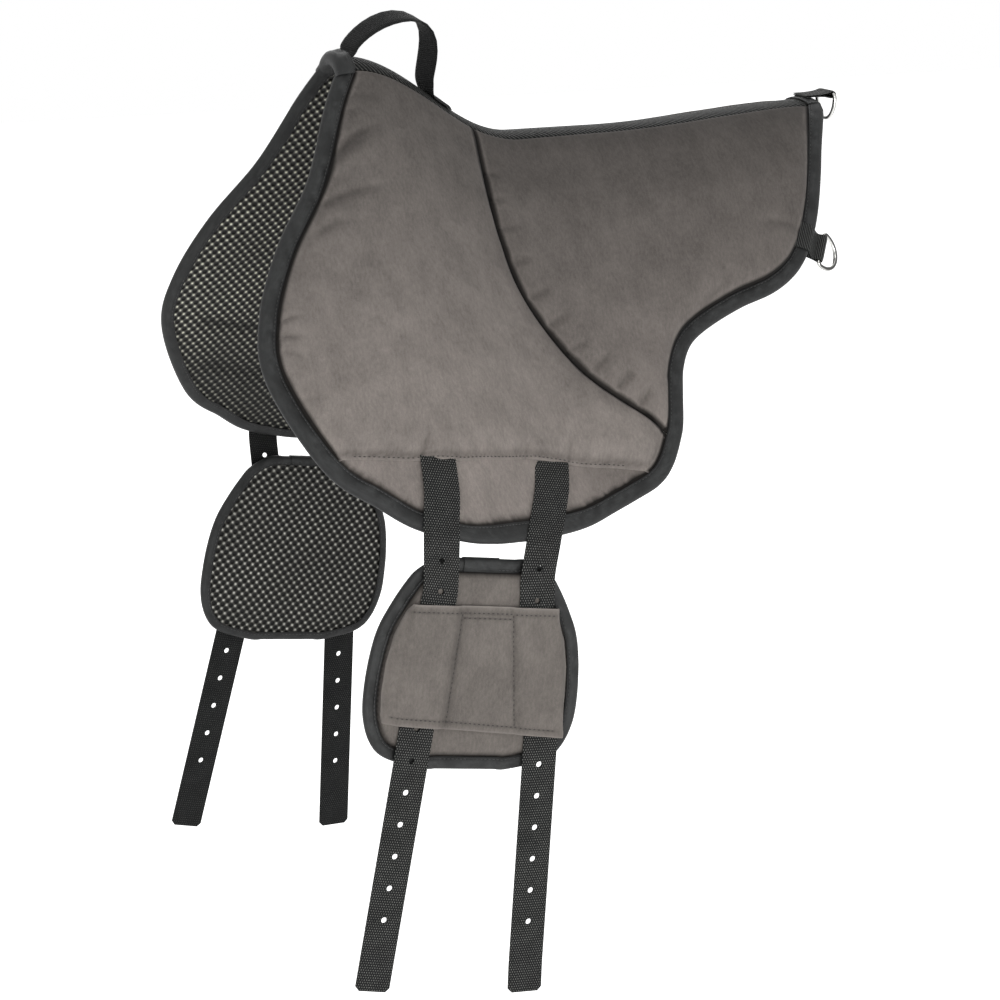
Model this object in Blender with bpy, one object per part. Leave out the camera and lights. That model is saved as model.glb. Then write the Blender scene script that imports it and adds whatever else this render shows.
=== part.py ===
"""A pony-size bareback pad on its own, as if it lay over a horse's back.

Each side is a padded front panel and a padded seat panel on a mesh lining, with a thin skirt below them,
all held at the rim by a folded binding tape. Two punched girth billets come out under the lower seam of
each side and run through the tunnels of a buckle guard. A webbing strip covers the spine and carries
the grab handle, and three D-rings hang in tabs at the rear.

+X points to the rear, +Z up, and the near side of the horse is at -Y. The origin is on the underside of
the pad at the middle of the spine. A pattern point is given as (along, down): the distance behind the
pommel and the distance down the side from the spine, measured over the surface.
"""

import math

import bmesh
import bpy
from mathutils import Matrix, Vector

# The horse's back, in metres and degrees
spine_length = 0.460
drop = 0.413
pommel_rise = 0.070
cantle_rise = 0.012
withers_length = 0.155
ridge_radius_front = 0.021
ridge_radius_rear = 0.064
side_slope_front = 61.8
side_slope_rear = 57.0

# Cloth, foam and tape
clearance = 0.0004
lining_thickness = 0.0030
cover_thickness = 0.0012
spine_webbing_width = 0.036
webbing_thickness = 0.0018
binding_width = 0.0145
binding_thickness = 0.0010
binding_lead = 0.0006
slot_room = 0.0007
seam_gap = 0.0009
spine_gap = 0.0010
front_pad_height = 0.013
seat_pad_height = 0.017

# Girth billets
billet_width = 0.030
billet_thickness = 0.0018
hole_pitch = 0.0270
hole_radius = 0.0026
hole_count = 12
hole_to_tip = 0.056
hole_sides = 8
first_eye_angle = -135.0
upper_spans_each = 2
fine_steps = 12
front_first_hole = -0.088
rear_first_hole = -0.076
billet_lift = 0.0022

# Buckle guards
guard_height = 0.1755
guard_half_width = 0.093
guard_binding_width = 0.0115
guard_foam_height = 0.0050
guard_mesh_thickness = 0.0025
sleeve_top = -0.0505
sleeve_height = 0.107
tunnel_bare_room = 0.0022
tunnel_side_room = 0.0030
tunnel_wall = 0.0018
guard_back = -0.02144
guard_out = 0.01979
guard_hang = 0.12521
guard_toe = 3.5
guard_flare = 2.5
front_billet_lean = -11.4
rear_billet_lean = -3.3
front_billet_offset = -0.0450
rear_billet_offset = 0.0495
sleeve_side_lead = 0.0018
sleeve_foot_lead = 0.0012

# Grab handle
handle_width = 0.025
handle_thickness = 0.0026
handle_rise = 0.041
handle_span = 0.080
handle_foot = 0.020
handle_set_back = 0.0018
handle_fold = 0.0052

# D-rings and their tabs
ring_wire = 0.0017
ring_half_width = 0.0155
ring_depth = 0.0195
ring_shoulder = 0.0024
tab_width = 0.025
tab_thickness = 0.0012
tab_reach = 0.0125
tab_tuck = 0.0110
tab_room = 0.0005
tab_sink = 0.0038
crupper_reach = 0.0160
crupper_lift = 0.0018

# Shares of the spine length and of the drop
front_edge_shares = ((0.009, 0.045), (-0.030, 0.126), (-0.091, 0.281), (-0.172, 0.416),
                     (-0.222, 0.545), (-0.228, 0.660), (-0.160, 0.835))
lower_seam_shares = ((-0.160, 0.835), (-0.078, 0.848), (-0.009, 0.857), (0.061, 0.850), (0.139, 0.818),
                     (0.213, 0.782), (0.285, 0.763), (0.365, 0.763), (0.452, 0.772))
skirt_edge_shares = ((-0.160, 0.835), (-0.085, 0.913), (-0.028, 0.964), (0.037, 0.993), (0.087, 0.983),
                     (0.148, 0.944), (0.233, 0.882), (0.311, 0.840), (0.415, 0.797), (0.452, 0.772))
corner_edge_shares = ((0.452, 0.772), (0.472, 0.743), (0.485, 0.712))
panel_seam_shares = ((0.241, 0.045), (0.237, 0.138), (0.237, 0.223), (0.244, 0.310), (0.263, 0.402),
                     (0.320, 0.513), (0.365, 0.581), (0.413, 0.632), (0.456, 0.675), (0.485, 0.712))
waist_edge_shares = ((0.485, 0.712), (0.495, 0.683), (0.507, 0.625), (0.520, 0.571), (0.543, 0.523),
                     (0.574, 0.491), (0.624, 0.464), (0.687, 0.441), (0.752, 0.426), (0.796, 0.402),
                     (0.826, 0.368))
rear_edge_shares = ((0.950, 0.045), (0.915, 0.126), (0.891, 0.208), (0.870, 0.274), (0.850, 0.324),
                    (0.826, 0.368))

# Where the rows and columns of a panel's mesh lie, as shares of its height and width
row_shares = (0.0, 0.035, 0.10, 0.19, 0.29, 0.39, 0.49, 0.59, 0.69, 0.78, 0.86, 0.93, 0.972, 1.0)
seam_rows = 12
front_column_shares = (0.0, 0.05, 0.13, 0.25, 0.38, 0.51, 0.64, 0.76, 0.87, 0.955, 1.0)
seat_column_shares = (0.0, 0.035, 0.10, 0.20, 0.32, 0.45, 0.58, 0.70, 0.82, 0.91, 0.965, 1.0)
skirt_row_shares = (0.0, 0.5, 1.0)
spine_width_shares = (-1.0, -0.67, -0.33, 0.0, 0.33, 0.67, 1.0)
strap_width_shares = (-1.0, -0.5, 0.0, 0.5, 1.0)
handle_foot_shares = (0.0, 0.5, 1.0)
shoulder_share = 0.30
dome_share = 0.20

# The guard's half outline inside its binding, as (height from the top, half width) shares
guard_row_shares = ((0.0, 0.44), (0.05, 0.61), (0.11, 0.70), (0.22, 0.82), (0.345, 0.925), (0.495, 0.98),
                    (0.66, 1.0), (0.785, 0.985), (0.895, 0.91), (0.955, 0.78), (1.0, 0.44))
guard_column_shares = (-1.0, -0.93, -0.72, -0.36, 0.0, 0.36, 0.72, 0.93, 1.0)

# Where each billet leaves the lower seam and crosses the lower edge, in the same shares as the outlines
front_billet_shares = ((0.018, 0.868), (0.012, 0.930), (0.004, 0.992), (-0.001, 1.032))
rear_billet_shares = ((0.248, 0.780), (0.238, 0.825), (0.224, 0.884), (0.207, 0.965))

# A billet's straight run starts at these distances above the guard's middle
billet_joins = (-0.071, -0.056, -0.038)

# The handle's middle line as shares of its span and rise, with its turn about that line in degrees
handle_path_shares = ((0.010, 0.02, 0.0), (0.000, 0.22, 4.0), (0.060, 0.47, 8.0), (0.230, 0.72, 8.0),
                      (0.430, 0.88, 4.0), (0.640, 0.93, 2.0), (0.860, 0.90, 8.0), (1.040, 0.76, 22.0),
                      (1.100, 0.50, 34.0), (1.040, 0.22, 40.0), (0.960, -0.06, 38.0), (0.930, -0.36, 30.0),
                      (0.945, -0.62, 16.0))

# A ring's straight bar as a share of its half width, and the bend of a tab round that bar
ring_bar_share = 0.86
ring_arc_steps = 14
tab_neck_shares = (2.0, 0.333)
tab_arc_degrees = (110.0, 70.0, 35.0, 0.0, -35.0, -70.0, -110.0)
sharp_angle = 40.0

# Which way each side lies
sides = {"near": -1.0, "off": 1.0}

webbing_half = spine_webbing_width / 2
flange = binding_width - binding_thickness - clearance
cover_floor = lining_thickness + clearance
slot_top = cover_floor + cover_thickness + slot_room
binding_top = slot_top + binding_thickness
guard_inner_height = guard_height - 2 * guard_binding_width
guard_inner_half = guard_half_width - guard_binding_width
guard_face_top = guard_mesh_thickness + clearance * 2 + guard_foam_height + cover_thickness
sleeve_floor = guard_face_top + clearance
billet_floor = slot_top + billet_thickness / 2 + clearance * 2
guard_binding_top = guard_mesh_thickness + cover_thickness + clearance * 2 + binding_thickness
spine_slot_top = cover_floor + webbing_thickness + slot_room


def clear_scene():
    for thing in list(bpy.data.objects):
        bpy.data.objects.remove(thing, do_unlink=True)


def make_material(name, colour, roughness, metallic=0.0):
    material = bpy.data.materials.new(name)
    material.use_nodes = True
    shader = material.node_tree.nodes["Principled BSDF"]
    shader.inputs["Base Color"].default_value = (*colour, 1.0)
    shader.inputs["Roughness"].default_value = roughness
    shader.inputs["Metallic"].default_value = metallic
    return material


def blend(low, high, share):
    return low + (high - low) * share


def ridge_height(along):
    """How high the underside of the pad is over the origin at this distance behind the pommel."""
    to_withers = min(max(along / withers_length, 0.0), 1.0)
    middle = spine_length / 2
    to_cantle = min(max((along - middle) / middle, 0.0), 1.0)
    return (pommel_rise * (0.5 + 0.5 * math.cos(math.pi * to_withers))
            + cantle_rise * (0.5 - 0.5 * math.cos(math.pi * to_cantle)))


def on_back(along, down, lift, side):
    """A point of the pad: an arc over the spine, then a straight side, lifted square to the surface."""
    share = along / spine_length
    radius = blend(ridge_radius_front, ridge_radius_rear, share)
    slope = math.radians(blend(side_slope_front, side_slope_rear, share))
    angle = min(down / radius, slope)
    straight = max(down - radius * slope, 0.0)
    out = radius * math.sin(angle) + straight * math.cos(slope) + lift * math.sin(angle)
    fall = radius * (1 - math.cos(angle)) + straight * math.sin(slope) - lift * math.cos(angle)
    return Vector((along - spine_length / 2, side * out, ridge_height(along) - fall))


def normal_on_back(along, down, side):
    return (on_back(along, down, clearance, side) - on_back(along, down, 0.0, side)).normalized()


def pattern_point(shares):
    return Vector((shares[0] * spine_length, shares[1] * drop))


def smooth_line(points, at_shares):
    """Points of a Catmull-Rom curve through these ones, at shares of its length."""
    ends = [points[0] * 2 - points[1]] + list(points) + [points[-1] * 2 - points[-2]]
    fine = []
    for i in range(1, len(ends) - 2):
        a, b, c, d = ends[i - 1:i + 3]
        for k in range(fine_steps):
            t = k / fine_steps
            fine.append(0.5 * (2 * b + (c - a) * t + (2 * a - 5 * b + 4 * c - d) * t * t
                               + (3 * b - a - 3 * c + d) * t * t * t))
    fine.append(points[-1].copy())
    lengths = [0.0]
    for a, b in zip(fine, fine[1:]):
        lengths.append(lengths[-1] + (b - a).length)
    found = []
    i = 0
    for share in at_shares:
        wanted = share * lengths[-1]
        while i < len(fine) - 2 and lengths[i + 1] < wanted:
            i += 1
        part = (wanted - lengths[i]) / (lengths[i + 1] - lengths[i])
        found.append(fine[i].lerp(fine[i + 1], min(max(part, 0.0), 1.0)))
    return found


def outline(shares, at_shares):
    return smooth_line([pattern_point(pair) for pair in shares], at_shares)


def coons_patch(top, bottom, left, right, rows, columns):
    """A grid of pattern points that meets four edge lines."""
    grid = []
    for j, v in enumerate(rows):
        line = []
        for i, u in enumerate(columns):
            across = left[j] * (1 - u) + right[j] * u
            upright = top[i] * (1 - v) + bottom[i] * v
            corners = ((top[0] * (1 - u) + top[-1] * u) * (1 - v)
                       + (bottom[0] * (1 - u) + bottom[-1] * u) * v)
            line.append(across + upright - corners)
        grid.append(line)
    return grid


def shoulder(share):
    """A cushion's rise from its sewn edge, as a quarter round."""
    near_edge = min(share, 1 - share) / shoulder_share
    return math.sqrt(max(1 - (1 - min(near_edge, 1.0)) ** 2, 0.0))


def crown(rows, columns, height):
    return [[height * shoulder(u) * shoulder(v)
             * (1 - dome_share + dome_share * math.sin(math.pi * u) * math.sin(math.pi * v))
             for u in columns] for v in rows]


class Pattern:
    """A flat cloth piece: points with a padding height each, and triangles between them."""

    def __init__(self):
        self.points = []
        self.heights = []
        self.faces = []
        self.index = {}

    def add_point(self, point, height=0.0):
        key = (round(point.x / clearance, 2), round(point.y / clearance, 2))
        if key not in self.index:
            self.index[key] = len(self.points)
            self.points.append(point.copy())
            self.heights.append(height)
        return self.index[key]

    def add_quad(self, corners):
        a, b, c, d = corners
        for triangle in ((a, b, c), (a, c, d)):
            if len(set(triangle)) == 3:
                self.faces.append(triangle)

    def add_grid(self, grid, heights=None):
        index = [[self.add_point(point, heights[j][i] if heights else 0.0) for i, point in enumerate(line)]
                 for j, line in enumerate(grid)]
        for upper, lower in zip(index, index[1:]):
            for i in range(len(upper) - 1):
                self.add_quad((upper[i], upper[i + 1], lower[i + 1], lower[i]))

    def add_strip(self, inner, outer):
        self.add_grid([inner, outer])


def new_object(name, mesh, material):
    thing = bpy.data.objects.new(name, mesh)
    thing.data.materials.append(material)
    pad_collection.objects.link(thing)
    return thing


def finish_mesh(name, shell, material, origin=None):
    """Closes a mesh's normals outwards, shades it smooth and puts its origin where it turns."""
    bmesh.ops.recalc_face_normals(shell, faces=shell.faces)
    if shell.calc_volume(signed=True) < 0:
        bmesh.ops.reverse_faces(shell, faces=shell.faces)
    if origin is not None:
        bmesh.ops.translate(shell, verts=shell.verts, vec=-origin)
    mesh = bpy.data.meshes.new(name)
    shell.to_mesh(mesh)
    shell.free()
    mesh.shade_smooth()
    mesh.set_sharp_from_angle(angle=math.radians(sharp_angle))
    thing = new_object(name, mesh, material)
    if origin is not None:
        thing.location = origin
    return thing


def thick_sheet(name, pattern, low, high, material, origin=None):
    """A closed solid from a pattern. low and high place a point of its two faces in space."""
    shell = bmesh.new()
    lower = [shell.verts.new(low(p, h)) for p, h in zip(pattern.points, pattern.heights)]
    upper = [shell.verts.new(high(p, h)) for p, h in zip(pattern.points, pattern.heights)]
    edges = {}
    for triangle in pattern.faces:
        shell.faces.new([upper[k] for k in triangle])
        shell.faces.new([lower[k] for k in reversed(triangle)])
        for a, b in zip(triangle, triangle[1:] + triangle[:1]):
            edges.setdefault((min(a, b), max(a, b)), []).append((a, b))
    for uses in edges.values():
        if len(uses) == 1:
            a, b = uses[0]
            shell.faces.new((lower[a], lower[b], upper[b], upper[a]))
    loose = [v for v in shell.verts if not v.link_faces]
    bmesh.ops.delete(shell, geom=loose, context="VERTS")
    return finish_mesh(name, shell, material, origin)


def loft(name, rings, material, closed=False, origin=None):
    """A closed solid through rings of points. A ring runs along one face of a sheet and back along the other.

    closed joins the last ring to the first.
    """
    shell = bmesh.new()
    loops = [[shell.verts.new(point) for point in ring] for ring in rings]
    count = len(rings[0])
    pairs = list(zip(loops, loops[1:])) + ([(loops[-1], loops[0])] if closed else [])
    for first, second in pairs:
        for k in range(count):
            shell.faces.new((first[k], first[(k + 1) % count], second[(k + 1) % count], second[k]))
    if not closed:
        for loop in (loops[0], loops[-1]):
            for k in range(count // 2 - 1):
                shell.faces.new((loop[k], loop[k + 1], loop[count - 2 - k], loop[count - 1 - k]))
    return finish_mesh(name, shell, material, origin)


def ribbon(name, rows, width, thickness, material, origin=None):
    """A flat strap through rows of (middle point, across, up, sag), where sag bends the row downwards."""
    rings = []
    for middle, across, up, sag in rows:
        line = [middle + across * (width / 2 * w) - up * (sag * w * w) for w in strap_width_shares]
        rings.append([p - up * (thickness / 2) for p in line] + [p + up * (thickness / 2) for p in reversed(line)])
    return loft(name, rings, material, origin=origin)


def edge_normals(line, first=None, last=None, closed=False):
    """Unit vectors in the pattern that point to the left-hand side of a line of points."""
    found = []
    count = len(line)
    for i in range(count):
        before = line[i - 1] if i or closed else line[i]
        after = line[(i + 1) % count] if i < count - 1 or closed else line[i]
        run = (after - before).normalized()
        found.append(Vector((-run.y, run.x)))
    if first:
        found[0] = Vector(first)
    if last:
        found[-1] = Vector(last)
    return found


def shift_towards(line, other, distance):
    return [a + (b - a).normalized() * distance if (b - a).length > distance else a for a, b in zip(line, other)]


def binding_section(width, top, thickness):
    """A folded tape's section as (distance out, lift), open on its inner side."""
    low = -clearance
    return [(binding_lead, top), (width - thickness, top), (width - thickness, low), (binding_lead, low),
            (binding_lead, low - thickness), (width, low - thickness), (width, top + thickness),
            (binding_lead, top + thickness)]


class Side:
    """The pattern of one side of the pad, the same on both sides."""

    def __init__(self):
        rows, seam = row_shares, [v / row_shares[seam_rows - 1] for v in row_shares[:seam_rows]]
        left = outline(front_edge_shares, rows)
        panel_seam = outline(panel_seam_shares, seam)
        corner_at = [(v - row_shares[seam_rows - 1]) / (1 - row_shares[seam_rows - 1]) for v in rows[seam_rows - 1:]]
        corner = list(reversed(outline(corner_edge_shares, [1 - v for v in reversed(corner_at)])))
        for line in (left, panel_seam):
            line[0].y = webbing_half + spine_gap
        top = [left[0].lerp(panel_seam[0], u) for u in front_column_shares]
        bottom = outline(lower_seam_shares, front_column_shares)
        right = panel_seam + corner[1:]
        right[-1] = bottom[-1].copy()
        self.front = coons_patch(top, bottom, left, right, rows, front_column_shares)
        self.front_crown = crown(rows, front_column_shares, front_pad_height)
        rear = outline(rear_edge_shares, seam)
        rear[0].y = webbing_half + spine_gap
        seat_top = [panel_seam[0].lerp(rear[0], u) for u in seat_column_shares]
        waist = outline(waist_edge_shares, seat_column_shares)
        self.seat = coons_patch(seat_top, waist, panel_seam, rear, seam, seat_column_shares)
        self.seat_crown = crown(seam, seat_column_shares, seat_pad_height)
        self.spine_stations = [p.x for p in top + seat_top[2:-1:2] + seat_top[-1:]]
        skirt_low = outline(skirt_edge_shares, front_column_shares)
        self.skirt = [[a.lerp(b, v) for a, b in zip(bottom, skirt_low)] for v in skirt_row_shares]
        after_skirt = list(reversed(right[seam_rows - 1:-1]))
        self.rim = left + skirt_low[1:] + after_skirt + waist[1:] + list(reversed(rear))[1:]
        self.normals = edge_normals(self.rim, first=(-1.0, 0.0), last=(1.0, 0.0))
        self.rim_outer = [p + n * flange for p, n in zip(self.rim, self.normals)]

    def normal_at(self, point):
        near = min(range(len(self.rim)), key=lambda i: (self.rim[i] - point).length)
        return self.normals[near]

    def strip_from(self, line):
        return [p + self.normal_at(p) * flange for p in line]

    def lining_pattern(self):
        pattern = Pattern()
        pattern.add_grid(self.front)
        pattern.add_grid(self.seat)
        pattern.add_grid(self.skirt)
        pattern.add_strip(self.rim, self.rim_outer)
        return pattern

    def front_grid(self):
        """The front panel drawn back by half a seam gap where it meets the seat and the skirt."""
        grid = [list(line) for line in self.front]
        for j in range(seam_rows):
            grid[j][-1] = shift_towards([grid[j][-1]], [grid[j][-2]], seam_gap / 2)[0]
        grid[-1] = shift_towards(grid[-1], grid[-2], seam_gap / 2)
        return grid

    def seat_grid(self):
        grid = [list(line) for line in self.seat]
        for line in grid:
            line[0] = shift_towards([line[0]], [line[1]], seam_gap / 2)[0]
        return grid

    def cover_pattern(self, grid, heights, edges):
        pattern = Pattern()
        pattern.add_grid(grid, heights)
        for edge in edges:
            pattern.add_strip(edge, self.strip_from(edge))
        return pattern

    def front_cover(self):
        grid = self.front_grid()
        left = [line[0] for line in grid]
        corner = [line[-1] for line in grid[seam_rows - 1:]][1:]
        return self.cover_pattern(grid, self.front_crown, [left, corner])

    def seat_cover(self):
        grid = self.seat_grid()
        rear = [line[-1] for line in grid]
        return self.cover_pattern(grid, self.seat_crown, [grid[-1] + rear[:-1][::-1]])

    def foam(self, grid, heights):
        pattern = Pattern()
        inner = [line[1:-1] for line in grid[1:-1]]
        pattern.add_grid(inner, [line[1:-1] for line in heights[1:-1]])
        return pattern

    def skirt_cover(self):
        """The skirt below the lower seam, with both its tips drawn back along the edge."""
        grid = [list(line) for line in self.skirt]
        low = grid[-1]
        tips = (low[0] + (low[1] - low[0]).normalized() * seam_gap,
                low[-1] + (low[-2] - low[-1]).normalized() * seam_gap)
        grid[0] = shift_towards(grid[0], grid[1], seam_gap / 2)
        for line in grid:
            line[0], line[-1] = tips[0].copy(), tips[1].copy()
        pattern = Pattern()
        pattern.add_grid(grid)
        pattern.add_strip(grid[-1], [p + n * flange for p, n in zip(grid[-1], self.skirt_normals())])
        return pattern

    def skirt_normals(self):
        start = len(row_shares) - 1
        return self.normals[start:start + len(front_column_shares)]


def sheet_between(name, pattern, side, low, high, material, origin=None):
    """A cloth piece on one side, where low and high give the lift of its faces from the padding height."""
    return thick_sheet(name, pattern, lambda p, h: on_back(p.x, p.y, low(h), side),
                       lambda p, h: on_back(p.x, p.y, high(h), side), material, origin)


def over_foam(height):
    return cover_floor + (height + clearance if height else 0.0)


def make_side(name, side, pattern):
    """Lining, foam, covers, skirt and rim binding of one side."""
    sheet_between(f"{name}_mesh_lining", pattern.lining_pattern(), side, lambda h: 0.0,
                  lambda h: lining_thickness, mesh_cloth)
    for part, grid, heights, cover in (
            ("front", pattern.front_grid(), pattern.front_crown, pattern.front_cover()),
            ("seat", pattern.seat_grid(), pattern.seat_crown, pattern.seat_cover())):
        sheet_between(f"{name}_{part}_foam", pattern.foam(grid, heights), side, lambda h: cover_floor,
                      lambda h: cover_floor + h, foam_block)
        sheet_between(f"{name}_{part}_panel", cover, side, over_foam,
                      lambda h: over_foam(h) + cover_thickness, suede)
    sheet_between(f"{name}_skirt", pattern.skirt_cover(), side, lambda h: cover_floor,
                  lambda h: cover_floor + cover_thickness, suede)
    section = binding_section(binding_width, slot_top, binding_thickness)
    rings = [[on_back(p.x + n.x * out, p.y + n.y * out, lift, side) for out, lift in section]
             for p, n in zip(pattern.rim, pattern.normals)]
    loft(f"{name}_binding", rings, tape)


def over_ridge(along, lift):
    """A row of points across the ridge, from the near edge of the spine strips to the off edge."""
    return [on_back(along, abs(w) * webbing_half, lift, math.copysign(1.0, w)) for w in spine_width_shares]


def spine_strip(name, low, high, material, stations):
    """A strip over the ridge, from one side's top edge to the other's."""
    loft(name, [over_ridge(along, low) + over_ridge(along, high)[::-1] for along in stations], material)


def spine_binding(name, along, outward):
    """The rim tape where it crosses the ridge at one end of the spine."""
    section = binding_section(binding_width, spine_slot_top, binding_thickness)
    rows = [over_ridge(along + outward * out, lift) for out, lift in section]
    loft(name, [list(ring) for ring in zip(*rows)], tape)


def make_spine(pattern):
    front, rear = pattern.rim[0].x, pattern.rim[-1].x
    stations = [front - flange] + pattern.spine_stations + [rear + flange]
    spine_strip("gullet_lining", 0.0, lining_thickness, mesh_cloth, stations)
    spine_strip("spine_webbing", cover_floor, cover_floor + webbing_thickness, webbing, stations)
    spine_binding("pommel_binding", front, -1.0)
    spine_binding("cantle_binding", rear, 1.0)
    return front, rear


def strap_rows(path, turns, sags):
    """Rows for a strap whose middle line is in the plane of the spine, turned about that line."""
    rows = []
    for i, (point, turn, sag) in enumerate(zip(path, turns, sags)):
        run = (path[min(i + 1, len(path) - 1)] - path[max(i - 1, 0)]).normalized()
        across = Vector((0.0, 1.0, 0.0))
        up = run.cross(across).normalized()
        spin = Matrix.Rotation(math.radians(turn), 3, run)
        rows.append((point, spin @ across, spin @ up, sag))
    return rows


def ridge_top(along, lift):
    return on_back(along, 0.0, lift, 1.0)


def sag_over_ridge(along, lift):
    """How far the handle's edges bend down below its middle where it is sewn over the ridge."""
    radius = blend(ridge_radius_front, ridge_radius_rear, along / spine_length) + lift
    return (handle_width / 2) ** 2 / (2 * radius)


def make_handle(front):
    """A webbing loop. Its two feet lie sewn on the spine webbing, inside the loop, and it turns as it rises."""
    lift = cover_floor + webbing_thickness + clearance + handle_thickness / 2
    heel = front + handle_fold + handle_set_back
    front_foot = [heel + handle_foot * share for share in reversed(handle_foot_shares)]
    points = [ridge_top(along, lift) for along in front_foot]
    base = ridge_top(front + handle_set_back, lift)
    for x_share, z_share, _ in handle_path_shares:
        points.append(base + Vector((handle_span * x_share, 0.0, handle_rise * z_share)))
    landing = points[-1].x + spine_length / 2
    rear_foot = [landing - handle_fold - handle_foot * share for share in handle_foot_shares]
    points += [ridge_top(along, lift) for along in rear_foot]
    turns = [0.0] * len(front_foot) + [turn for _, _, turn in handle_path_shares] + [0.0] * len(rear_foot)
    sags = ([sag_over_ridge(along, lift) for along in front_foot] + [0.0] * len(handle_path_shares)
            + [sag_over_ridge(along, lift) for along in rear_foot])
    ribbon("grab_handle", strap_rows(points, turns, sags), handle_width, handle_thickness, webbing)


def tab_band(inner_radius, reach, tuck):
    """The middle line of a doubled tab round a bar at the origin, as (out, lift)."""
    radius = inner_radius + tab_thickness / 2
    half_stack = (tab_thickness + clearance) / 2
    bend_share, neck_share = tab_neck_shares
    neck = (-radius * bend_share, blend(half_stack, radius, neck_share))
    band = [(-reach - tuck, half_stack), (-reach, half_stack), neck]
    arc = [math.radians(a) for a in tab_arc_degrees]
    band += [(radius * math.cos(a), radius * math.sin(a)) for a in arc]
    band += [(out, -lift) for out, lift in reversed(band[:3])]
    return band


def make_tab(name, bar, along_bar, out, up, reach, tuck):
    """A webbing tab folded round a ring's bar."""
    line = [bar + out * a + up * b for a, b in tab_band(ring_wire + tab_room, reach, tuck)]
    rows = []
    for i, point in enumerate(line):
        run = (line[min(i + 1, len(line) - 1)] - line[max(i - 1, 0)]).normalized()
        rows.append((point, along_bar, run.cross(along_bar).normalized(), 0.0))
    ribbon(name, rows, tab_width, tab_thickness, webbing)


def make_ring(name, bar, along_bar, hang):
    """A D-ring of round wire: a straight bar and a half round below it."""
    corner = ring_half_width * ring_bar_share
    flat = [(-corner, 0.0), (0.0, 0.0), (corner, 0.0)]
    for k in range(ring_arc_steps + 1):
        angle = math.pi * k / ring_arc_steps
        flat.append((ring_half_width * math.cos(angle), ring_shoulder + ring_depth * math.sin(angle)))
    data = bpy.data.curves.new(name, "CURVE")
    data.dimensions = "3D"
    data.bevel_depth = ring_wire
    data.bevel_resolution = 2
    spline = data.splines.new("POLY")
    spline.points.add(len(flat) - 1)
    spline.use_cyclic_u = True
    for point, (a, b) in zip(spline.points, flat):
        point.co = (*(along_bar * a + hang * b), 1.0)
    thing = bpy.data.objects.new(name, data)
    thing.data.materials.append(chrome)
    pad_collection.objects.link(thing)
    thing.location = bar


def hanging_from(along_bar):
    """The way a ring on this bar hangs: straight down, square to the bar."""
    down = Vector((0.0, 0.0, -1.0))
    return (down - along_bar * down.dot(along_bar)).normalized()


def make_rear_tab(name, side, pattern):
    """The tab and ring at the lower rear corner, tucked under the binding and sewn to it."""
    corner_index = len(row_shares) + len(front_column_shares) + len(row_shares) - seam_rows + len(seat_column_shares)
    spot = corner_index - 2
    point, normal = pattern.rim[spot], pattern.normals[spot]
    lift = -tab_sink
    edge = point + normal * binding_width
    far = point + normal * (binding_width + tab_reach)
    near_end = on_back(edge.x, edge.y, lift, side)
    bar = on_back(far.x, far.y, lift, side)
    out = (bar - near_end).normalized()
    up = normal_on_back(far.x, far.y, side)
    up = (up - out * up.dot(out)).normalized()
    along_bar = up.cross(out).normalized()
    make_tab(f"{name}_rear_tab", bar, along_bar, out, up, tab_reach, tab_tuck)
    make_ring(f"{name}_ring", bar, along_bar, hanging_from(along_bar))


def make_crupper_tab(rear):
    """The tab and ring at the rear end of the spine, sewn on top of the webbing."""
    lift = spine_slot_top + binding_thickness + crupper_lift
    edge = ridge_top(rear + binding_width, lift)
    start = ridge_top(rear, lift)
    out = (edge - start).normalized()
    bar = edge + out * crupper_reach
    across = Vector((0.0, 1.0, 0.0))
    up = out.cross(across).normalized()
    if up.z < 0:
        up = -up
    make_tab("crupper_tab", bar, across, out, up, crupper_reach, tab_tuck)
    make_ring("crupper_ring", bar, across, hanging_from(across))


def hang_frame(side):
    """The plane in which a side's billets hang: its middle, its rearward, downward and outward directions."""
    toe, flare = math.radians(guard_toe), math.radians(guard_flare)
    rearward = Vector((math.cos(toe), side * math.sin(toe), 0.0))
    level_out = Vector((-math.sin(toe), side * math.cos(toe), 0.0))
    down = Vector((0.0, 0.0, -1.0)) * math.cos(flare) + level_out * math.sin(flare)
    outward = level_out * math.cos(flare) + Vector((0.0, 0.0, 1.0)) * math.sin(flare)
    between = (pattern_point(front_billet_shares[2]) + pattern_point(rear_billet_shares[2])) / 2
    middle = on_back(*between, 0.0, side) + Vector((guard_back, side * guard_out, -guard_hang))
    return middle, rearward, down, outward


def billet_line(side, offset, lean):
    """A billet's straight run: its point level with the guard's middle, and its direction."""
    middle, rearward, down, outward = hang_frame(side)
    angle = math.radians(lean)
    return middle + rearward * offset, (down * math.cos(angle) + rearward * math.sin(angle)).normalized(), outward


def swing_axis(side):
    """A point and the direction of the line that both billets of a side swing about, along their top ends."""
    ends = [on_back(*pattern_point(shares[0]), billet_floor, side)
            for shares in (front_billet_shares, rear_billet_shares)]
    return ends[0], (ends[1] - ends[0]).normalized()


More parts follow.
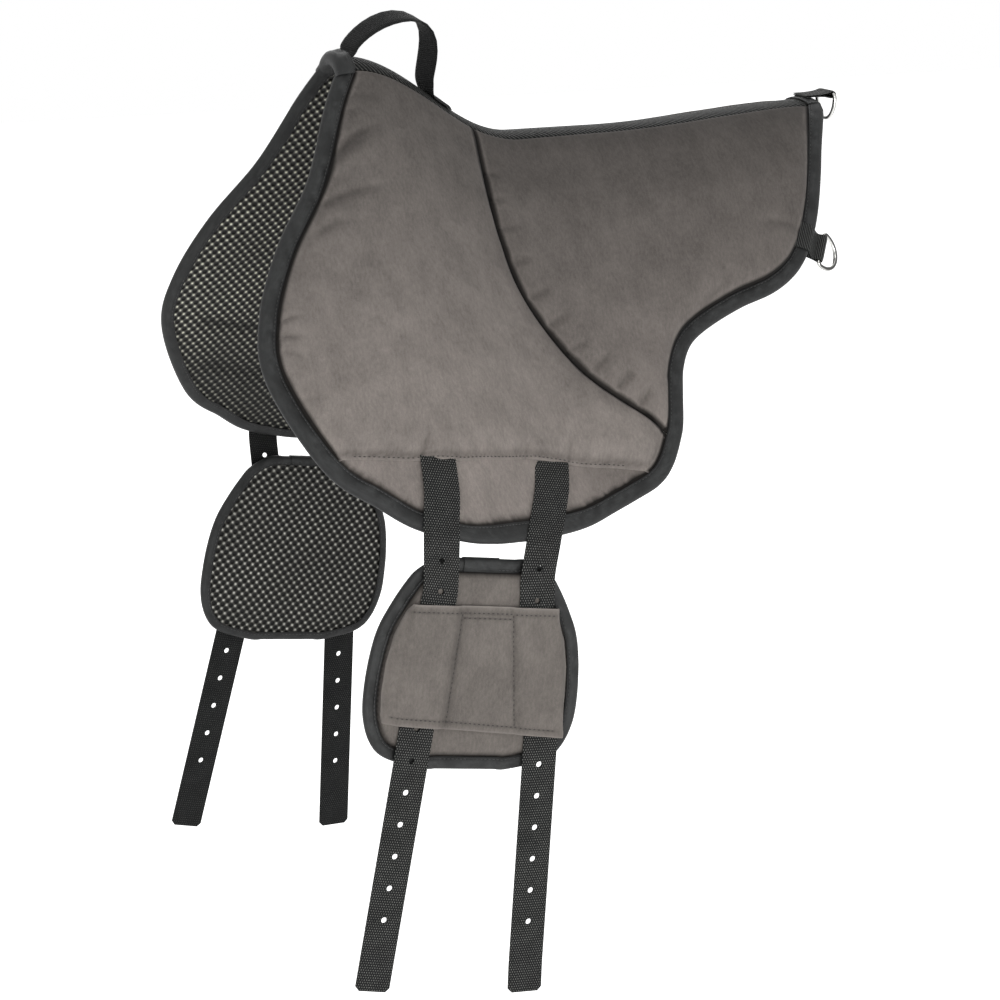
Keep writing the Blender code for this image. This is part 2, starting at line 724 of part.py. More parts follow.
def billet_controls(side, shares, offset, lean):
    """The places that a billet's middle line goes through: point, across and upward vectors."""
    base, run, outward = billet_line(side, offset, lean)
    half = billet_thickness / 2
    axis = swing_axis(side)[1]
    across_hanging = run.cross(outward) * side
    points = [pattern_point(pair) for pair in shares]
    lifts = (billet_floor, billet_floor + billet_lift, binding_top + billet_lift + half,
             binding_top + billet_lift + half)
    controls = []
    for k, (p, lift) in enumerate(zip(points, lifts)):
        after, before = points[min(k + 1, len(points) - 1)], points[max(k - 1, 0)]
        down = (after - before).normalized()
        square = Vector((down.y, -down.x)) * (billet_width / 2)
        ends = [on_back(*(p + square * w), lift, side) for w in (-1.0, 1.0)]
        across = (ends[1] - ends[0]) / billet_width
        if k == 0:
            across = axis / axis.dot(across)
        controls.append((on_back(*p, lift, side), across, normal_on_back(*p, side)))
    for level in billet_joins:
        controls.append((base + run * level + outward * half, across_hanging, outward))
    return controls, base, run


def billet_frames(side, shares, offset, lean, first_hole):
    """Frames down a billet, with the distance of each from the top, and which spans hold a hole."""
    controls, base, run = billet_controls(side, shares, offset, lean)
    count = fine_steps * (len(controls) - 1)
    line = smooth_line([c[0] for c in controls], [k / count for k in range(count + 1)])
    lengths = [0.0]
    for a, b in zip(line, line[1:]):
        lengths.append(lengths[-1] + (b - a).length)
    knots = [lengths[min(range(len(line)), key=lambda i: (line[i] - c[0]).length)] for c in controls]

    def frame_at(distance):
        if distance >= lengths[-1]:
            return line[-1] + run * (distance - lengths[-1]), controls[-1][1], controls[-1][2]
        i = max(k for k in range(len(line) - 1) if lengths[k] <= distance)
        point = line[i].lerp(line[i + 1], (distance - lengths[i]) / (lengths[i + 1] - lengths[i]))
        j = max(k for k in range(len(knots) - 1) if knots[k] <= distance)
        share = min((distance - knots[j]) / (knots[j + 1] - knots[j]), 1.0)
        return (point, controls[j][1].lerp(controls[j + 1][1], share),
                controls[j][2].lerp(controls[j + 1][2], share).normalized())

    level_end = (line[-1] - base).dot(run)
    start = lengths[-1] - level_end + first_hole - hole_pitch / 2
    upper_spans = round(start / hole_pitch * upper_spans_each)
    distances = [start * k / upper_spans for k in range(upper_spans)]
    distances += [start + hole_pitch * k for k in range(hole_count + 1)]
    distances.append(distances[-1] - hole_pitch / 2 + hole_to_tip)
    return [frame_at(d) for d in distances], distances, range(upper_spans, upper_spans + hole_count)


def add_punched_span(flat, y0, y1):
    """One span of a billet's pattern with a round hole in its middle."""
    half, middle = billet_width / 2, (y0 + y1) / 2
    ring = [(-half, y0), (0.0, y0), (half, y0), (half, middle), (half, y1), (0.0, y1), (-half, y1), (-half, middle)]
    outer = [flat.add_point(Vector(p)) for p in ring]
    eyes = []
    for k in range(hole_sides):
        angle = math.radians(first_eye_angle + 360.0 * k / hole_sides)
        eyes.append(flat.add_point(Vector((hole_radius * math.cos(angle), middle + hole_radius * math.sin(angle)))))
    for k in range(hole_sides):
        n = (k + 1) % hole_sides
        flat.add_quad((outer[k], outer[n], eyes[n], eyes[k]))


def make_billet(name, side, shares, offset, lean, first_hole):
    """A punched webbing billet that bends over the binding and then hangs straight."""
    frames, distances, punched = billet_frames(side, shares, offset, lean, first_hole)
    half_width, half = billet_width / 2, billet_thickness / 2

    def place(p, lift):
        i = 0
        while i < len(distances) - 2 and p.y > distances[i + 1]:
            i += 1
        share = (p.y - distances[i]) / (distances[i + 1] - distances[i])
        (point, across, up), (next_point, next_across, next_up) = frames[i], frames[i + 1]
        return (point.lerp(next_point, share) + across.lerp(next_across, share) * p.x
                + up.lerp(next_up, share).normalized() * lift)

    flat = Pattern()
    for i, (y0, y1) in enumerate(zip(distances, distances[1:])):
        if i in punched:
            add_punched_span(flat, y0, y1)
        else:
            flat.add_grid([[Vector((x, y)) for x in (-half_width, 0.0, half_width)] for y in (y0, y1)])
    return thick_sheet(name, flat, lambda p, h: place(p, -half), lambda p, h: place(p, half), webbing,
                       swing_axis(side)[0])


def guard_frame(side):
    """The guard's own plane: square to the mean run of the two billets, with lift from its inner face."""
    middle, rearward, down, outward = hang_frame(side)
    lean = math.radians((front_billet_lean + rear_billet_lean) / 2)
    run = down * math.cos(lean) + rearward * math.sin(lean)
    across = rearward * math.cos(lean) - down * math.sin(lean)
    return middle, across, run, outward


def guard_place(side):
    middle, across, run, outward = guard_frame(side)
    base = middle - outward * (guard_face_top + clearance)
    return lambda p, lift: base + across * p.x + run * p.y + outward * lift


def guard_grid():
    """Pattern points of the guard inside its binding, from its top row down."""
    return [[Vector((guard_inner_half * w * u, guard_inner_height * (v - 0.5))) for u in guard_column_shares]
            for v, w in guard_row_shares]


def guard_rim(grid):
    """The grid's edge points in order, with their outward directions."""
    left = [line[0] for line in grid]
    right = [line[-1] for line in reversed(grid)]
    rim = left + grid[-1][1:-1] + right + list(reversed(grid[0][1:-1]))
    return rim, edge_normals(rim, closed=True)


def guard_half_at(y):
    """Half the guard's width inside its binding at this height; past its rim, as wide as the rim."""
    share = y / guard_inner_height + 0.5
    for (v0, w0), (v1, w1) in zip(guard_row_shares, guard_row_shares[1:]):
        if v0 <= share <= v1:
            return guard_inner_half * blend(w0, w1, (share - v0) / (v1 - v0))
    return guard_inner_half * guard_row_shares[0 if share < 0 else -1][1]


def tunnel_edges(middle, low_limit, high_limit):
    """Where a billet's tunnel rises and falls: foot, shoulder, shoulder, foot."""
    bare = billet_width / 2 + tunnel_bare_room
    left = min(max(middle - bare - tunnel_side_room, low_limit), middle - bare)
    right = max(min(middle + bare + tunnel_side_room, high_limit), middle + bare)
    return left - tunnel_wall, left, right, right + tunnel_wall


def sleeve_line(y):
    """The sleeve's points across the guard at this height, each with its lift from the guard's plane."""
    half = guard_half_at(y)
    drawn, edge = half * guard_column_shares[-2], half - sleeve_side_lead
    spread = math.tan(math.radians((rear_billet_lean - front_billet_lean) / 2)) * y
    front = tunnel_edges(front_billet_offset - spread, -drawn, drawn)
    rear = tunnel_edges(rear_billet_offset + spread, -drawn, drawn)
    raised = sleeve_floor + billet_thickness + clearance * 2
    left_edge = min(-edge, front[0] - sleeve_foot_lead)
    right_edge = max(edge, rear[3] + sleeve_foot_lead)
    places = [left_edge, min(-drawn, (front[0] + left_edge) / 2), *front, *rear,
              max(drawn, (rear[3] + right_edge) / 2), right_edge]
    shoulders = (*front[1:3], *rear[1:3])

    def lift_at(x):
        if x in shoulders:
            return raised
        fall = (guard_foam_height + clearance) * (abs(x) - drawn) / (half - drawn)
        falling = max(sleeve_floor + clearance * 2 - fall, guard_binding_top + clearance * 2)
        return falling if x in (left_edge, right_edge) else sleeve_floor

    line = [(x, lift_at(x)) for x in places]
    return [Vector((x, y)) for x, _ in line], [lift for _, lift in line]


def make_guard(name, side):
    """A buckle guard: mesh, foam and face with a tunnelled sleeve on it, bound round the rim."""
    place = guard_place(side)
    grid = guard_grid()
    rim, normals = guard_rim(grid)
    middle = guard_frame(side)[0]
    guard_flange = guard_binding_width - binding_thickness - clearance
    strip = [p + n * guard_flange for p, n in zip(rim, normals)]
    floor = guard_mesh_thickness + clearance
    rows, columns = len(grid), len(grid[0])
    heights = [[guard_foam_height if 0 < j < rows - 1 and 0 < i < columns - 1 else 0.0 for i in range(columns)]
               for j in range(rows)]
    whole = Pattern()
    whole.add_grid(grid, heights)
    whole.add_strip(rim + rim[:1], strip + strip[:1])
    core = Pattern()
    core.add_grid([line[1:-1] for line in grid[1:-1]])

    def over_core(height):
        return floor + (height + clearance if height else 0.0)

    thick_sheet(f"{name}_guard_mesh", whole, lambda p, h: place(p, 0.0),
                lambda p, h: place(p, guard_mesh_thickness), mesh_cloth, middle)
    thick_sheet(f"{name}_guard_foam", core, lambda p, h: place(p, floor),
                lambda p, h: place(p, floor + guard_foam_height), foam_block, middle)
    thick_sheet(f"{name}_guard_face", whole, lambda p, h: place(p, over_core(h)),
                lambda p, h: place(p, over_core(h) + cover_thickness), suede, middle)
    section = binding_section(guard_binding_width, floor + cover_thickness + clearance, binding_thickness)
    rings = [[place(p + n * out, lift) for out, lift in section] for p, n in zip(rim, normals)]
    loft(f"{name}_guard_binding", rings, tape, closed=True, origin=middle)
    make_sleeve(name, place, middle)


def make_sleeve(name, place, origin):
    """The sleeve panel on the guard's face, raised over both billets."""
    inner = [guard_inner_height * (v - 0.5) for v, _ in guard_row_shares]
    heights_down = [sleeve_top] + [y for y in inner if sleeve_top < y < sleeve_top + sleeve_height]
    heights_down.append(sleeve_top + sleeve_height)
    lines = [sleeve_line(y) for y in heights_down]
    sheet = Pattern()
    sheet.add_grid([points for points, _ in lines], [lifts for _, lifts in lines])
    thick_sheet(f"{name}_guard_sleeve", sheet, lambda p, h: place(p, h),
                lambda p, h: place(p, h + cover_thickness), suede, origin)


clear_scene()
pad_collection = bpy.data.collections.new("bareback_pad")
bpy.context.scene.collection.children.link(pad_collection)
suede = make_material("suede", (0.141, 0.122, 0.107), 0.92)
tape = make_material("binding_tape", (0.034, 0.037, 0.037), 0.60)
webbing = make_material("webbing", (0.018, 0.019, 0.019), 0.70)
mesh_cloth = make_material("spacer_mesh", (0.085, 0.087, 0.080), 0.85)
foam_block = make_material("foam", (0.45, 0.44, 0.40), 0.95)
chrome = make_material("chromed_steel", (0.62, 0.62, 0.60), 0.16, 1.0)

side_pattern = Side()
spine_front, spine_rear = make_spine(side_pattern)
make_handle(spine_front)
make_crupper_tab(spine_rear)
for side_name, side_sign in sides.items():
    make_side(side_name, side_sign, side_pattern)
    make_rear_tab(side_name, side_sign, side_pattern)
    make_billet(f"{side_name}_front_billet", side_sign, front_billet_shares, front_billet_offset,
                front_billet_lean, front_first_hole)
    make_billet(f"{side_name}_rear_billet", side_sign, rear_billet_shares, rear_billet_offset,
                rear_billet_lean, rear_first_hole)
    make_guard(side_name, side_sign)
print("bareback pad:", len(pad_collection.objects), "pieces")
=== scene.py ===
import math

import bpy
import numpy as np
from mathutils import Matrix, Vector
from mathutils.geometry import delaunay_2d_cdt


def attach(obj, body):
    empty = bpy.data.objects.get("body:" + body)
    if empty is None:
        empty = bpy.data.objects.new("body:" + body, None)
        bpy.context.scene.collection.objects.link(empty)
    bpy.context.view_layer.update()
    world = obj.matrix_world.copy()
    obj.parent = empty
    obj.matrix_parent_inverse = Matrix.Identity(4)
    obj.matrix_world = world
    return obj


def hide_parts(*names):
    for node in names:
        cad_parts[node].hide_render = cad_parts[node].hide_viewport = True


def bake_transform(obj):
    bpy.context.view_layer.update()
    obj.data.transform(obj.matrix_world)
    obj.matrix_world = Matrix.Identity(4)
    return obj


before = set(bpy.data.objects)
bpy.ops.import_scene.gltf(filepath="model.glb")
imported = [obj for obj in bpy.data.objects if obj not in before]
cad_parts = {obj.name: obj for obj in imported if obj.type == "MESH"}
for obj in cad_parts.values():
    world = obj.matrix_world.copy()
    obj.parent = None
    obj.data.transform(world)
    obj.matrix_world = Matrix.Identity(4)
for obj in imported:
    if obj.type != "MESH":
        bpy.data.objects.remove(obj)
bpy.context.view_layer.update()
print("frame loaded:", len(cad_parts), "nodes")

# Camera first: the photograph's place and angle
photoView = {"place": (-1.2366, -2.5295, 0.3713), "target": (-0.08384, 0.0, -0.32183), "lens": 116.86,
             "sensor": 36.0}


def makeCamera():
    data = bpy.data.cameras.new("photoCamera")
    data.lens, data.sensor_width = photoView["lens"], photoView["sensor"]
    data.clip_start, data.clip_end = 0.05, 60.0
    camera = bpy.data.objects.new("photoCamera", data)
    bpy.context.scene.collection.objects.link(camera)
    camera.location = photoView["place"]
    toTarget = Vector(photoView["target"]) - camera.location
    camera.rotation_euler = toTarget.to_track_quat("-Z", "Y").to_euler()
    bpy.context.scene.camera = camera


makeCamera()
print("camera placed")

back = {"length": 0.460, "drop": 0.413, "pommelRise": 0.070, "cantleRise": 0.012, "withers": 0.155,
        "ridgeFront": 0.021, "ridgeRear": 0.064, "slopeFront": 61.8, "slopeRear": 57.0}
scale = np.array([back["length"], back["drop"]])
cloth = {"gap": 0.0004, "lining": 0.0030, "cover": 0.0012, "webbingHalf": 0.018, "webbing": 0.0018,
         "binding": 0.0145, "tape": 0.0010, "slotRoom": 0.0007, "spineGap": 0.0010, "seamGap": 0.0009,
         "proud": 0.0001}
coverFloor = cloth["lining"] + cloth["gap"]
coverTop = coverFloor + cloth["cover"]
slotTop = coverTop + cloth["slotRoom"]
spineSlotTop = coverFloor + cloth["webbing"] + cloth["slotRoom"]
tapeTop, tapeUnder = slotTop + cloth["tape"], -cloth["gap"] - cloth["tape"]
sides = {"near": -1.0, "off": 1.0}

# Outlines of one side, as shares of the spine's length and of the drop
pattern = {
    "front": ((0.009, 0.046), (-0.030, 0.126), (-0.091, 0.281), (-0.172, 0.416), (-0.222, 0.545),
              (-0.228, 0.660), (-0.160, 0.835)),
    "lowerSeam": ((-0.160, 0.835), (-0.087, 0.848), (-0.013, 0.862), (0.061, 0.860), (0.141, 0.821),
                  (0.211, 0.777), (0.280, 0.757), (0.352, 0.764), (0.436, 0.786)),
    "skirt": ((-0.160, 0.835), (-0.085, 0.913), (-0.028, 0.964), (0.037, 0.993), (0.087, 0.983),
              (0.148, 0.944), (0.233, 0.882), (0.311, 0.840), (0.390, 0.807), (0.436, 0.786)),
    "corner": ((0.436, 0.786), (0.462, 0.758), (0.485, 0.712)),
    "panelSeam": ((0.241, 0.046), (0.237, 0.138), (0.237, 0.223), (0.244, 0.310), (0.263, 0.402),
                  (0.320, 0.513), (0.365, 0.581), (0.413, 0.632), (0.456, 0.675), (0.485, 0.712)),
    "waist": ((0.485, 0.712), (0.495, 0.683), (0.507, 0.625), (0.520, 0.571), (0.543, 0.523),
              (0.574, 0.491), (0.624, 0.464), (0.687, 0.441), (0.752, 0.426), (0.796, 0.402),
              (0.826, 0.368)),
    "rear": ((0.950, 0.046), (0.915, 0.126), (0.891, 0.208), (0.870, 0.274), (0.850, 0.324), (0.826, 0.368))}


def ridgeHeight(along):
    toWithers = np.clip(along / back["withers"], 0, 1)
    middle = back["length"] / 2
    toCantle = np.clip((along - middle) / middle, 0, 1)
    return (back["pommelRise"] * (0.5 + 0.5 * np.cos(np.pi * toWithers))
            + back["cantleRise"] * (0.5 - 0.5 * np.cos(np.pi * toCantle)))


def onBack(points, lift, side):
    # pattern points (along, down) to the frame: an arc over the spine, then a straight side
    points = np.asarray(points, float)
    along, down = points[..., 0], points[..., 1]
    share = along / back["length"]
    radius = back["ridgeFront"] + (back["ridgeRear"] - back["ridgeFront"]) * share
    slope = np.radians(back["slopeFront"] + (back["slopeRear"] - back["slopeFront"]) * share)
    angle = np.minimum(down / radius, slope)
    straight = np.maximum(down - radius * slope, 0)
    out = radius * np.sin(angle) + straight * np.cos(slope) + lift * np.sin(angle)
    fall = radius * (1 - np.cos(angle)) + straight * np.sin(slope) - lift * np.cos(angle)
    return np.stack([along - back["length"] / 2, side * out, ridgeHeight(along) - fall], -1)


def smoothLine(points, count, closed=False):
    # an even row of points on a smooth curve through the given ones
    p = np.asarray(points, float)
    ends = np.concatenate([p[-1:], p, p[:2]] if closed else [[2 * p[0] - p[1]], p, [2 * p[-1] - p[-2]]])
    a, b, c, d = ends[:-3, None], ends[1:-2, None], ends[2:-1, None], ends[3:, None]
    t = (np.arange(16) / 16)[None, :, None]
    squared, cubed = 2 * a - 5 * b + 4 * c - d, 3 * b - a - 3 * c + d
    fine = 0.5 * (2 * b + (c - a) * t + squared * t ** 2 + cubed * t ** 3)
    fine = np.concatenate([fine.reshape(-1, p.shape[1]), p[:1] if closed else p[-1:]])
    reached = arcLength(fine)
    wanted = np.linspace(0, reached[-1], count + 1 if closed else count)
    line = np.stack([np.interp(wanted, reached, fine[:, k]) for k in range(p.shape[1])], 1)
    return line[:-1] if closed else line


def outline(name, step=0.004):
    points = np.array(pattern[name]) * scale
    length = np.linalg.norm(np.diff(points, axis=0), axis=1).sum()
    return smoothLine(points, max(int(length / step), 3))


def lineNormals(line, closed=False):
    before = np.roll(line, 1, 0)
    after = np.roll(line, -1, 0)
    if not closed:
        before[0], after[-1] = line[0], line[-1]
    run = after - before
    run /= np.linalg.norm(run, axis=1)[:, None] + 1e-12
    return np.stack([-run[:, 1], run[:, 0]], 1)


def arcLength(line):
    return np.concatenate([[0], np.cumsum(np.linalg.norm(np.diff(line, axis=0), axis=1))])


def unit(v):
    return v / np.linalg.norm(v)


def unitRows(rows):
    return rows / np.linalg.norm(rows, axis=1)[:, None]


def bell(value, width):
    # 1 at zero, falling away over the width
    return np.exp(-(value / width) ** 2)


def edgeField(points, line):
    # distance to a line, positive on its left-hand side, and the arc position of the nearest spot
    a, run = line[:-1], np.diff(line, axis=0)
    length2 = (run ** 2).sum(1) + 1e-18
    start = arcLength(line)[:-1]
    far, arc = [], []
    for some in np.array_split(points, max(1, len(points) * len(a) // 3000000)):
        rel = some[:, None] - a[None]
        t = np.clip((rel * run).sum(-1) / length2, 0, 1)
        off = rel - t[..., None] * run
        gap2 = (off ** 2).sum(-1)
        k = gap2.argmin(1)
        rows = np.arange(len(some))
        r = rel[rows, k]
        cross = run[k, 0] * r[:, 1] - run[k, 1] * r[:, 0]
        far.append(np.sqrt(gap2[rows, k]) * np.sign(cross + 1e-15))
        arc.append(start[k] + t[rows, k] * np.sqrt(length2[k]))
    return np.concatenate(far), np.concatenate(arc)


def ripple(s, pitch, seed):
    # smooth irregular waves along a line, about -1 to 1
    knots = np.random.default_rng(seed).uniform(-1, 1, 4096)
    x = s / pitch + 1000
    i = np.floor(x).astype(int)
    t = ease(x - i, 0, 1)
    return knots[i % 4096] * (1 - t) + knots[(i + 1) % 4096] * t


def patches(points, pitch, seed):
    # smooth irregular hills over a cloth, about -1 to 1
    table = np.random.default_rng(seed).uniform(-1, 1, (128, 128))
    x, y = points[:, 0] / pitch + 64, points[:, 1] / pitch + 64
    i, j = np.floor(x).astype(int), np.floor(y).astype(int)
    u, v = ease(x - i, 0, 1), ease(y - j, 0, 1)
    top = table[i % 128, j % 128] * (1 - u) + table[(i + 1) % 128, j % 128] * u
    low = table[i % 128, (j + 1) % 128] * (1 - u) + table[(i + 1) % 128, (j + 1) % 128] * u
    return top * (1 - v) + low * v


def rounded(distance, reach):
    t = np.clip(distance / reach, 0, 1)
    return np.sqrt(1 - (1 - t) ** 2)


def ease(value, low, high):
    t = np.clip((value - low) / (high - low), 0, 1)
    return t * t * (3 - 2 * t)


def cutCloth(loop, spacing, holes=(), along=()):
    # a flat cloth cut along a loop, filled with even triangles and with extra points along some lines
    low, high = loop.min(0), loop.max(0)
    rise = spacing * 0.866
    rows = int((high[1] - low[1]) / rise) + 2
    inner = []
    for j in range(rows):
        xs = np.arange(low[0] + (spacing / 2 if j % 2 else 0), high[0] + spacing, spacing)
        inner.append(np.stack([xs, np.full(len(xs), low[1] + j * rise)], 1))
    inner = np.concatenate(inner)
    rings = [loop] + list(holes)
    keep = insideOf(inner, loop)
    for ring in rings:
        distance, _ = edgeField(inner, np.concatenate([ring, ring[:1]]))
        keep &= np.abs(distance) > spacing * 0.55
    for ring in holes:
        keep &= ~insideOf(inner, ring)
    inner = inner[keep]
    for line in along:
        apart = np.abs(edgeField(line, np.concatenate([loop, loop[:1]]))[0]) > 0.0008
        line = line[insideOf(line, loop) & apart]
        if not len(line):
            continue
        inner = inner[((inner[:, None] - line[None]) ** 2).sum(-1).min(1) > (spacing * 0.5) ** 2]
        inner = np.concatenate([inner, line])
    points, edges = [], []
    for ring in rings:
        first = len(points)
        points += [Vector(p) for p in ring]
        edges += [(first + k, first + (k + 1) % len(ring)) for k in range(len(ring))]
    points += [Vector(p) for p in inner]
    found, _, faces, _, _, _ = delaunay_2d_cdt(points, edges, [], 1, 1e-7)
    found = np.array([tuple(p) for p in found])
    faces = np.array([f for f in faces if len(f) == 3])
    if holes:
        middle = found[faces].mean(1)
        for ring in holes:
            outside = ~insideOf(middle, ring)
            faces, middle = faces[outside], middle[outside]
    used, faces = np.unique(faces, return_inverse=True)
    return found[used], faces.reshape(-1, 3)


def insideOf(points, loop):
    inside = np.zeros(len(points), bool)
    for a, b in zip(loop, np.roll(loop, -1, 0)):
        crosses = (a[1] > points[:, 1]) != (b[1] > points[:, 1])
        x = a[0] + (points[:, 1] - a[1]) * (b[0] - a[0]) / (b[1] - a[1] + 1e-18)
        inside ^= crosses & (points[:, 0] < x)
    return inside


def volumeOf(verts, faces):
    total = 0.0
    for size in set(len(f) for f in faces):
        some = np.array([f for f in faces if len(f) == size])
        for k in range(1, size - 1):
            a, b, c = verts[some[:, 0]], verts[some[:, k]], verts[some[:, k + 1]]
            total += np.einsum("ij,ij->i", a, np.cross(b, c)).sum()
    return total / 6


def makePiece(name, verts, faces, finish, body=None, slot=None, marks=None, sharp=40.0):
    # marks are named values or vectors for each point, which the materials read
    verts = np.asarray(verts, float)
    faces = [tuple(int(i) for i in f) for f in faces]
    if volumeOf(verts, faces) < 0:
        faces = [f[::-1] for f in faces]
    mesh = bpy.data.meshes.new(name)
    mesh.from_pydata(verts.tolist(), [], faces)
    for mark, values in (marks or {}).items():
        values = np.asarray(values, np.float32)
        kind = "FLOAT" if values.ndim == 1 else "FLOAT_VECTOR"
        layer = mesh.attributes.new(mark, kind, "POINT")
        layer.data.foreach_set("value" if values.ndim == 1 else "vector", values.ravel())
    mesh.shade_smooth()
    mesh.set_sharp_from_angle(angle=math.radians(sharp))
    piece = bpy.data.objects.new(name, mesh)
    piece.data.materials.append(finish)
    bpy.context.scene.collection.objects.link(piece)
    if body:
        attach(piece, body)
    return piece


def clothMark(points):
    return np.concatenate([points, np.zeros((len(points), 1))], 1)


def shellFaces(faces, count):
    # both faces of a cloth and the walls round its edges
    edges = np.concatenate([faces[:, [0, 1]], faces[:, [1, 2]], faces[:, [2, 0]]])
    keys = np.sort(edges, axis=1)
    _, where, uses = np.unique(keys, axis=0, return_index=True, return_counts=True)
    rim = edges[where[uses == 1]]
    walls = [(a + count, a, b, b + count) for a, b in rim]
    return [tuple(f + count) for f in faces] + [tuple(f[::-1]) for f in faces] + walls


def makeSheet(name, points, faces, low, high, finish, marks=None, **words):
    given = {"cloth": np.tile(clothMark(points), (2, 1)), "outer": np.repeat((0.0, 1.0), len(points))}
    for mark, values in (marks or {}).items():
        given[mark] = np.concatenate([values, values])
    faces = shellFaces(faces, len(points))
    return makePiece(name, np.concatenate([low, high]), faces, finish, marks=given, **words)


def makeSweep(name, rings, cloths, finish, closed=False, marks=None, **words):
    # a closed solid through rings of points
    rings = np.asarray(rings, float)
    stations, count = rings.shape[:2]
    faces = []
    for s in range(stations if closed else stations - 1):
        n = (s + 1) % stations
        for k in range(count):
            m = (k + 1) % count
            faces.append((s * count + k, s * count + m, n * count + m, n * count + k))
    if not closed:
        for s in (0, stations - 1):
            for k in range(count // 2 - 1):
                quad = tuple(s * count + corner for corner in (k, k + 1, count - 2 - k, count - 1 - k))
                faces.append(quad if s else quad[::-1])
    given = {"cloth": np.asarray(cloths, float).reshape(-1, 3)}
    for mark, values in (marks or {}).items():
        given[mark] = np.asarray(values, float).ravel()
    return makePiece(name, rings.reshape(-1, 3), faces, finish, marks=given, **words)


def gridFaces(rows, columns):
    # two triangles for each cell of a grid of points
    first = (np.arange(rows - 1)[:, None] * columns + np.arange(columns - 1)).reshape(-1, 1)
    return np.concatenate([first + (0, 1, columns + 1), first + (0, columns + 1, columns)], 1).reshape(-1, 3)


def gridMarks(first, second):
    # cloth coordinates over a grid, from a row and a column of lengths
    first, second = np.broadcast_arrays(first, second)
    return np.stack([first, second, np.zeros(first.shape)], -1)


def sheetOf(loop):
    # the size and area of the loop that a cloth was cut along, which are not kept
    size, turned = np.ptp(loop, axis=0), np.roll(loop, -1, 0)
    area = abs((loop[:, 0] * turned[:, 1] - turned[:, 0] * loop[:, 1]).sum()) / 2


def sewLine(name, places, runs, ups, finish, stitch, **words):
    # small rounded stitches, one at each place, along its run and lifted along its up
    across = np.cross(ups, runs)
    half, thick, high = stitch["length"] / 2, stitch["width"] / 2, stitch["height"]
    ring = [(0.0, 1.0), (1.0, 0.25), (0.0, -0.5), (-1.0, 0.25)]
    verts, faces = [], []
    n = len(places)
    verts.append(places - runs * half - ups * high * 0.3)
    for along in (-0.55, 0.0, 0.55):
        bulge = 1.0 if along == 0 else 0.82
        for w, h in ring:
            verts.append(places + runs * half * along + across * thick * w * bulge + ups * high * h * bulge)
    verts.append(places + runs * half - ups * high * 0.3)
    verts = np.stack(verts, 1).reshape(-1, 3)
    one = []
    for k in range(4):
        m = (k + 1) % 4
        one.append((0, 1 + m, 1 + k))
        for row in (0, 1):
            one.append((1 + row * 4 + k, 1 + row * 4 + m, 5 + row * 4 + m, 5 + row * 4 + k))
        one.append((9 + k, 9 + m, 13))
    for i in range(n):
        faces += [tuple(14 * i + v for v in f) for f in one]
    local = np.tile(np.linspace(0, 1, 14), n)
    cloths = np.stack([local * stitch["length"], np.repeat(np.arange(n), 14) * 0.01, np.zeros(14 * n)], 1)
    return makePiece(name, verts, faces, finish, marks={"cloth": cloths}, **words)


class Socket:
    # a shader value that can be used in sums
    def __init__(self, tree, socket):
        self.tree, self.socket = tree, socket

    def maths(self, operation, other, swapped=False):
        node = self.tree.nodes.new("ShaderNodeMath")
        node.operation = operation
        first, second = (1, 0) if swapped else (0, 1)
        self.tree.links.new(self.socket, node.inputs[first])
        if isinstance(other, Socket):
            self.tree.links.new(other.socket, node.inputs[second])
        elif other is not None:
            node.inputs[second].default_value = other
        return Socket(self.tree, node.outputs[0])

    def __add__(self, other):
        return self.maths("ADD", other)

    def __radd__(self, other):
        return self.maths("ADD", other, True)

    def __sub__(self, other):
        return self.maths("SUBTRACT", other)

    def __rsub__(self, other):
        return self.maths("SUBTRACT", other, True)

    def __mul__(self, other):
        return self.maths("MULTIPLY", other)

    def __truediv__(self, other):
        return self.maths("DIVIDE", other)

    def __pow__(self, other):
        return self.maths("POWER", other)


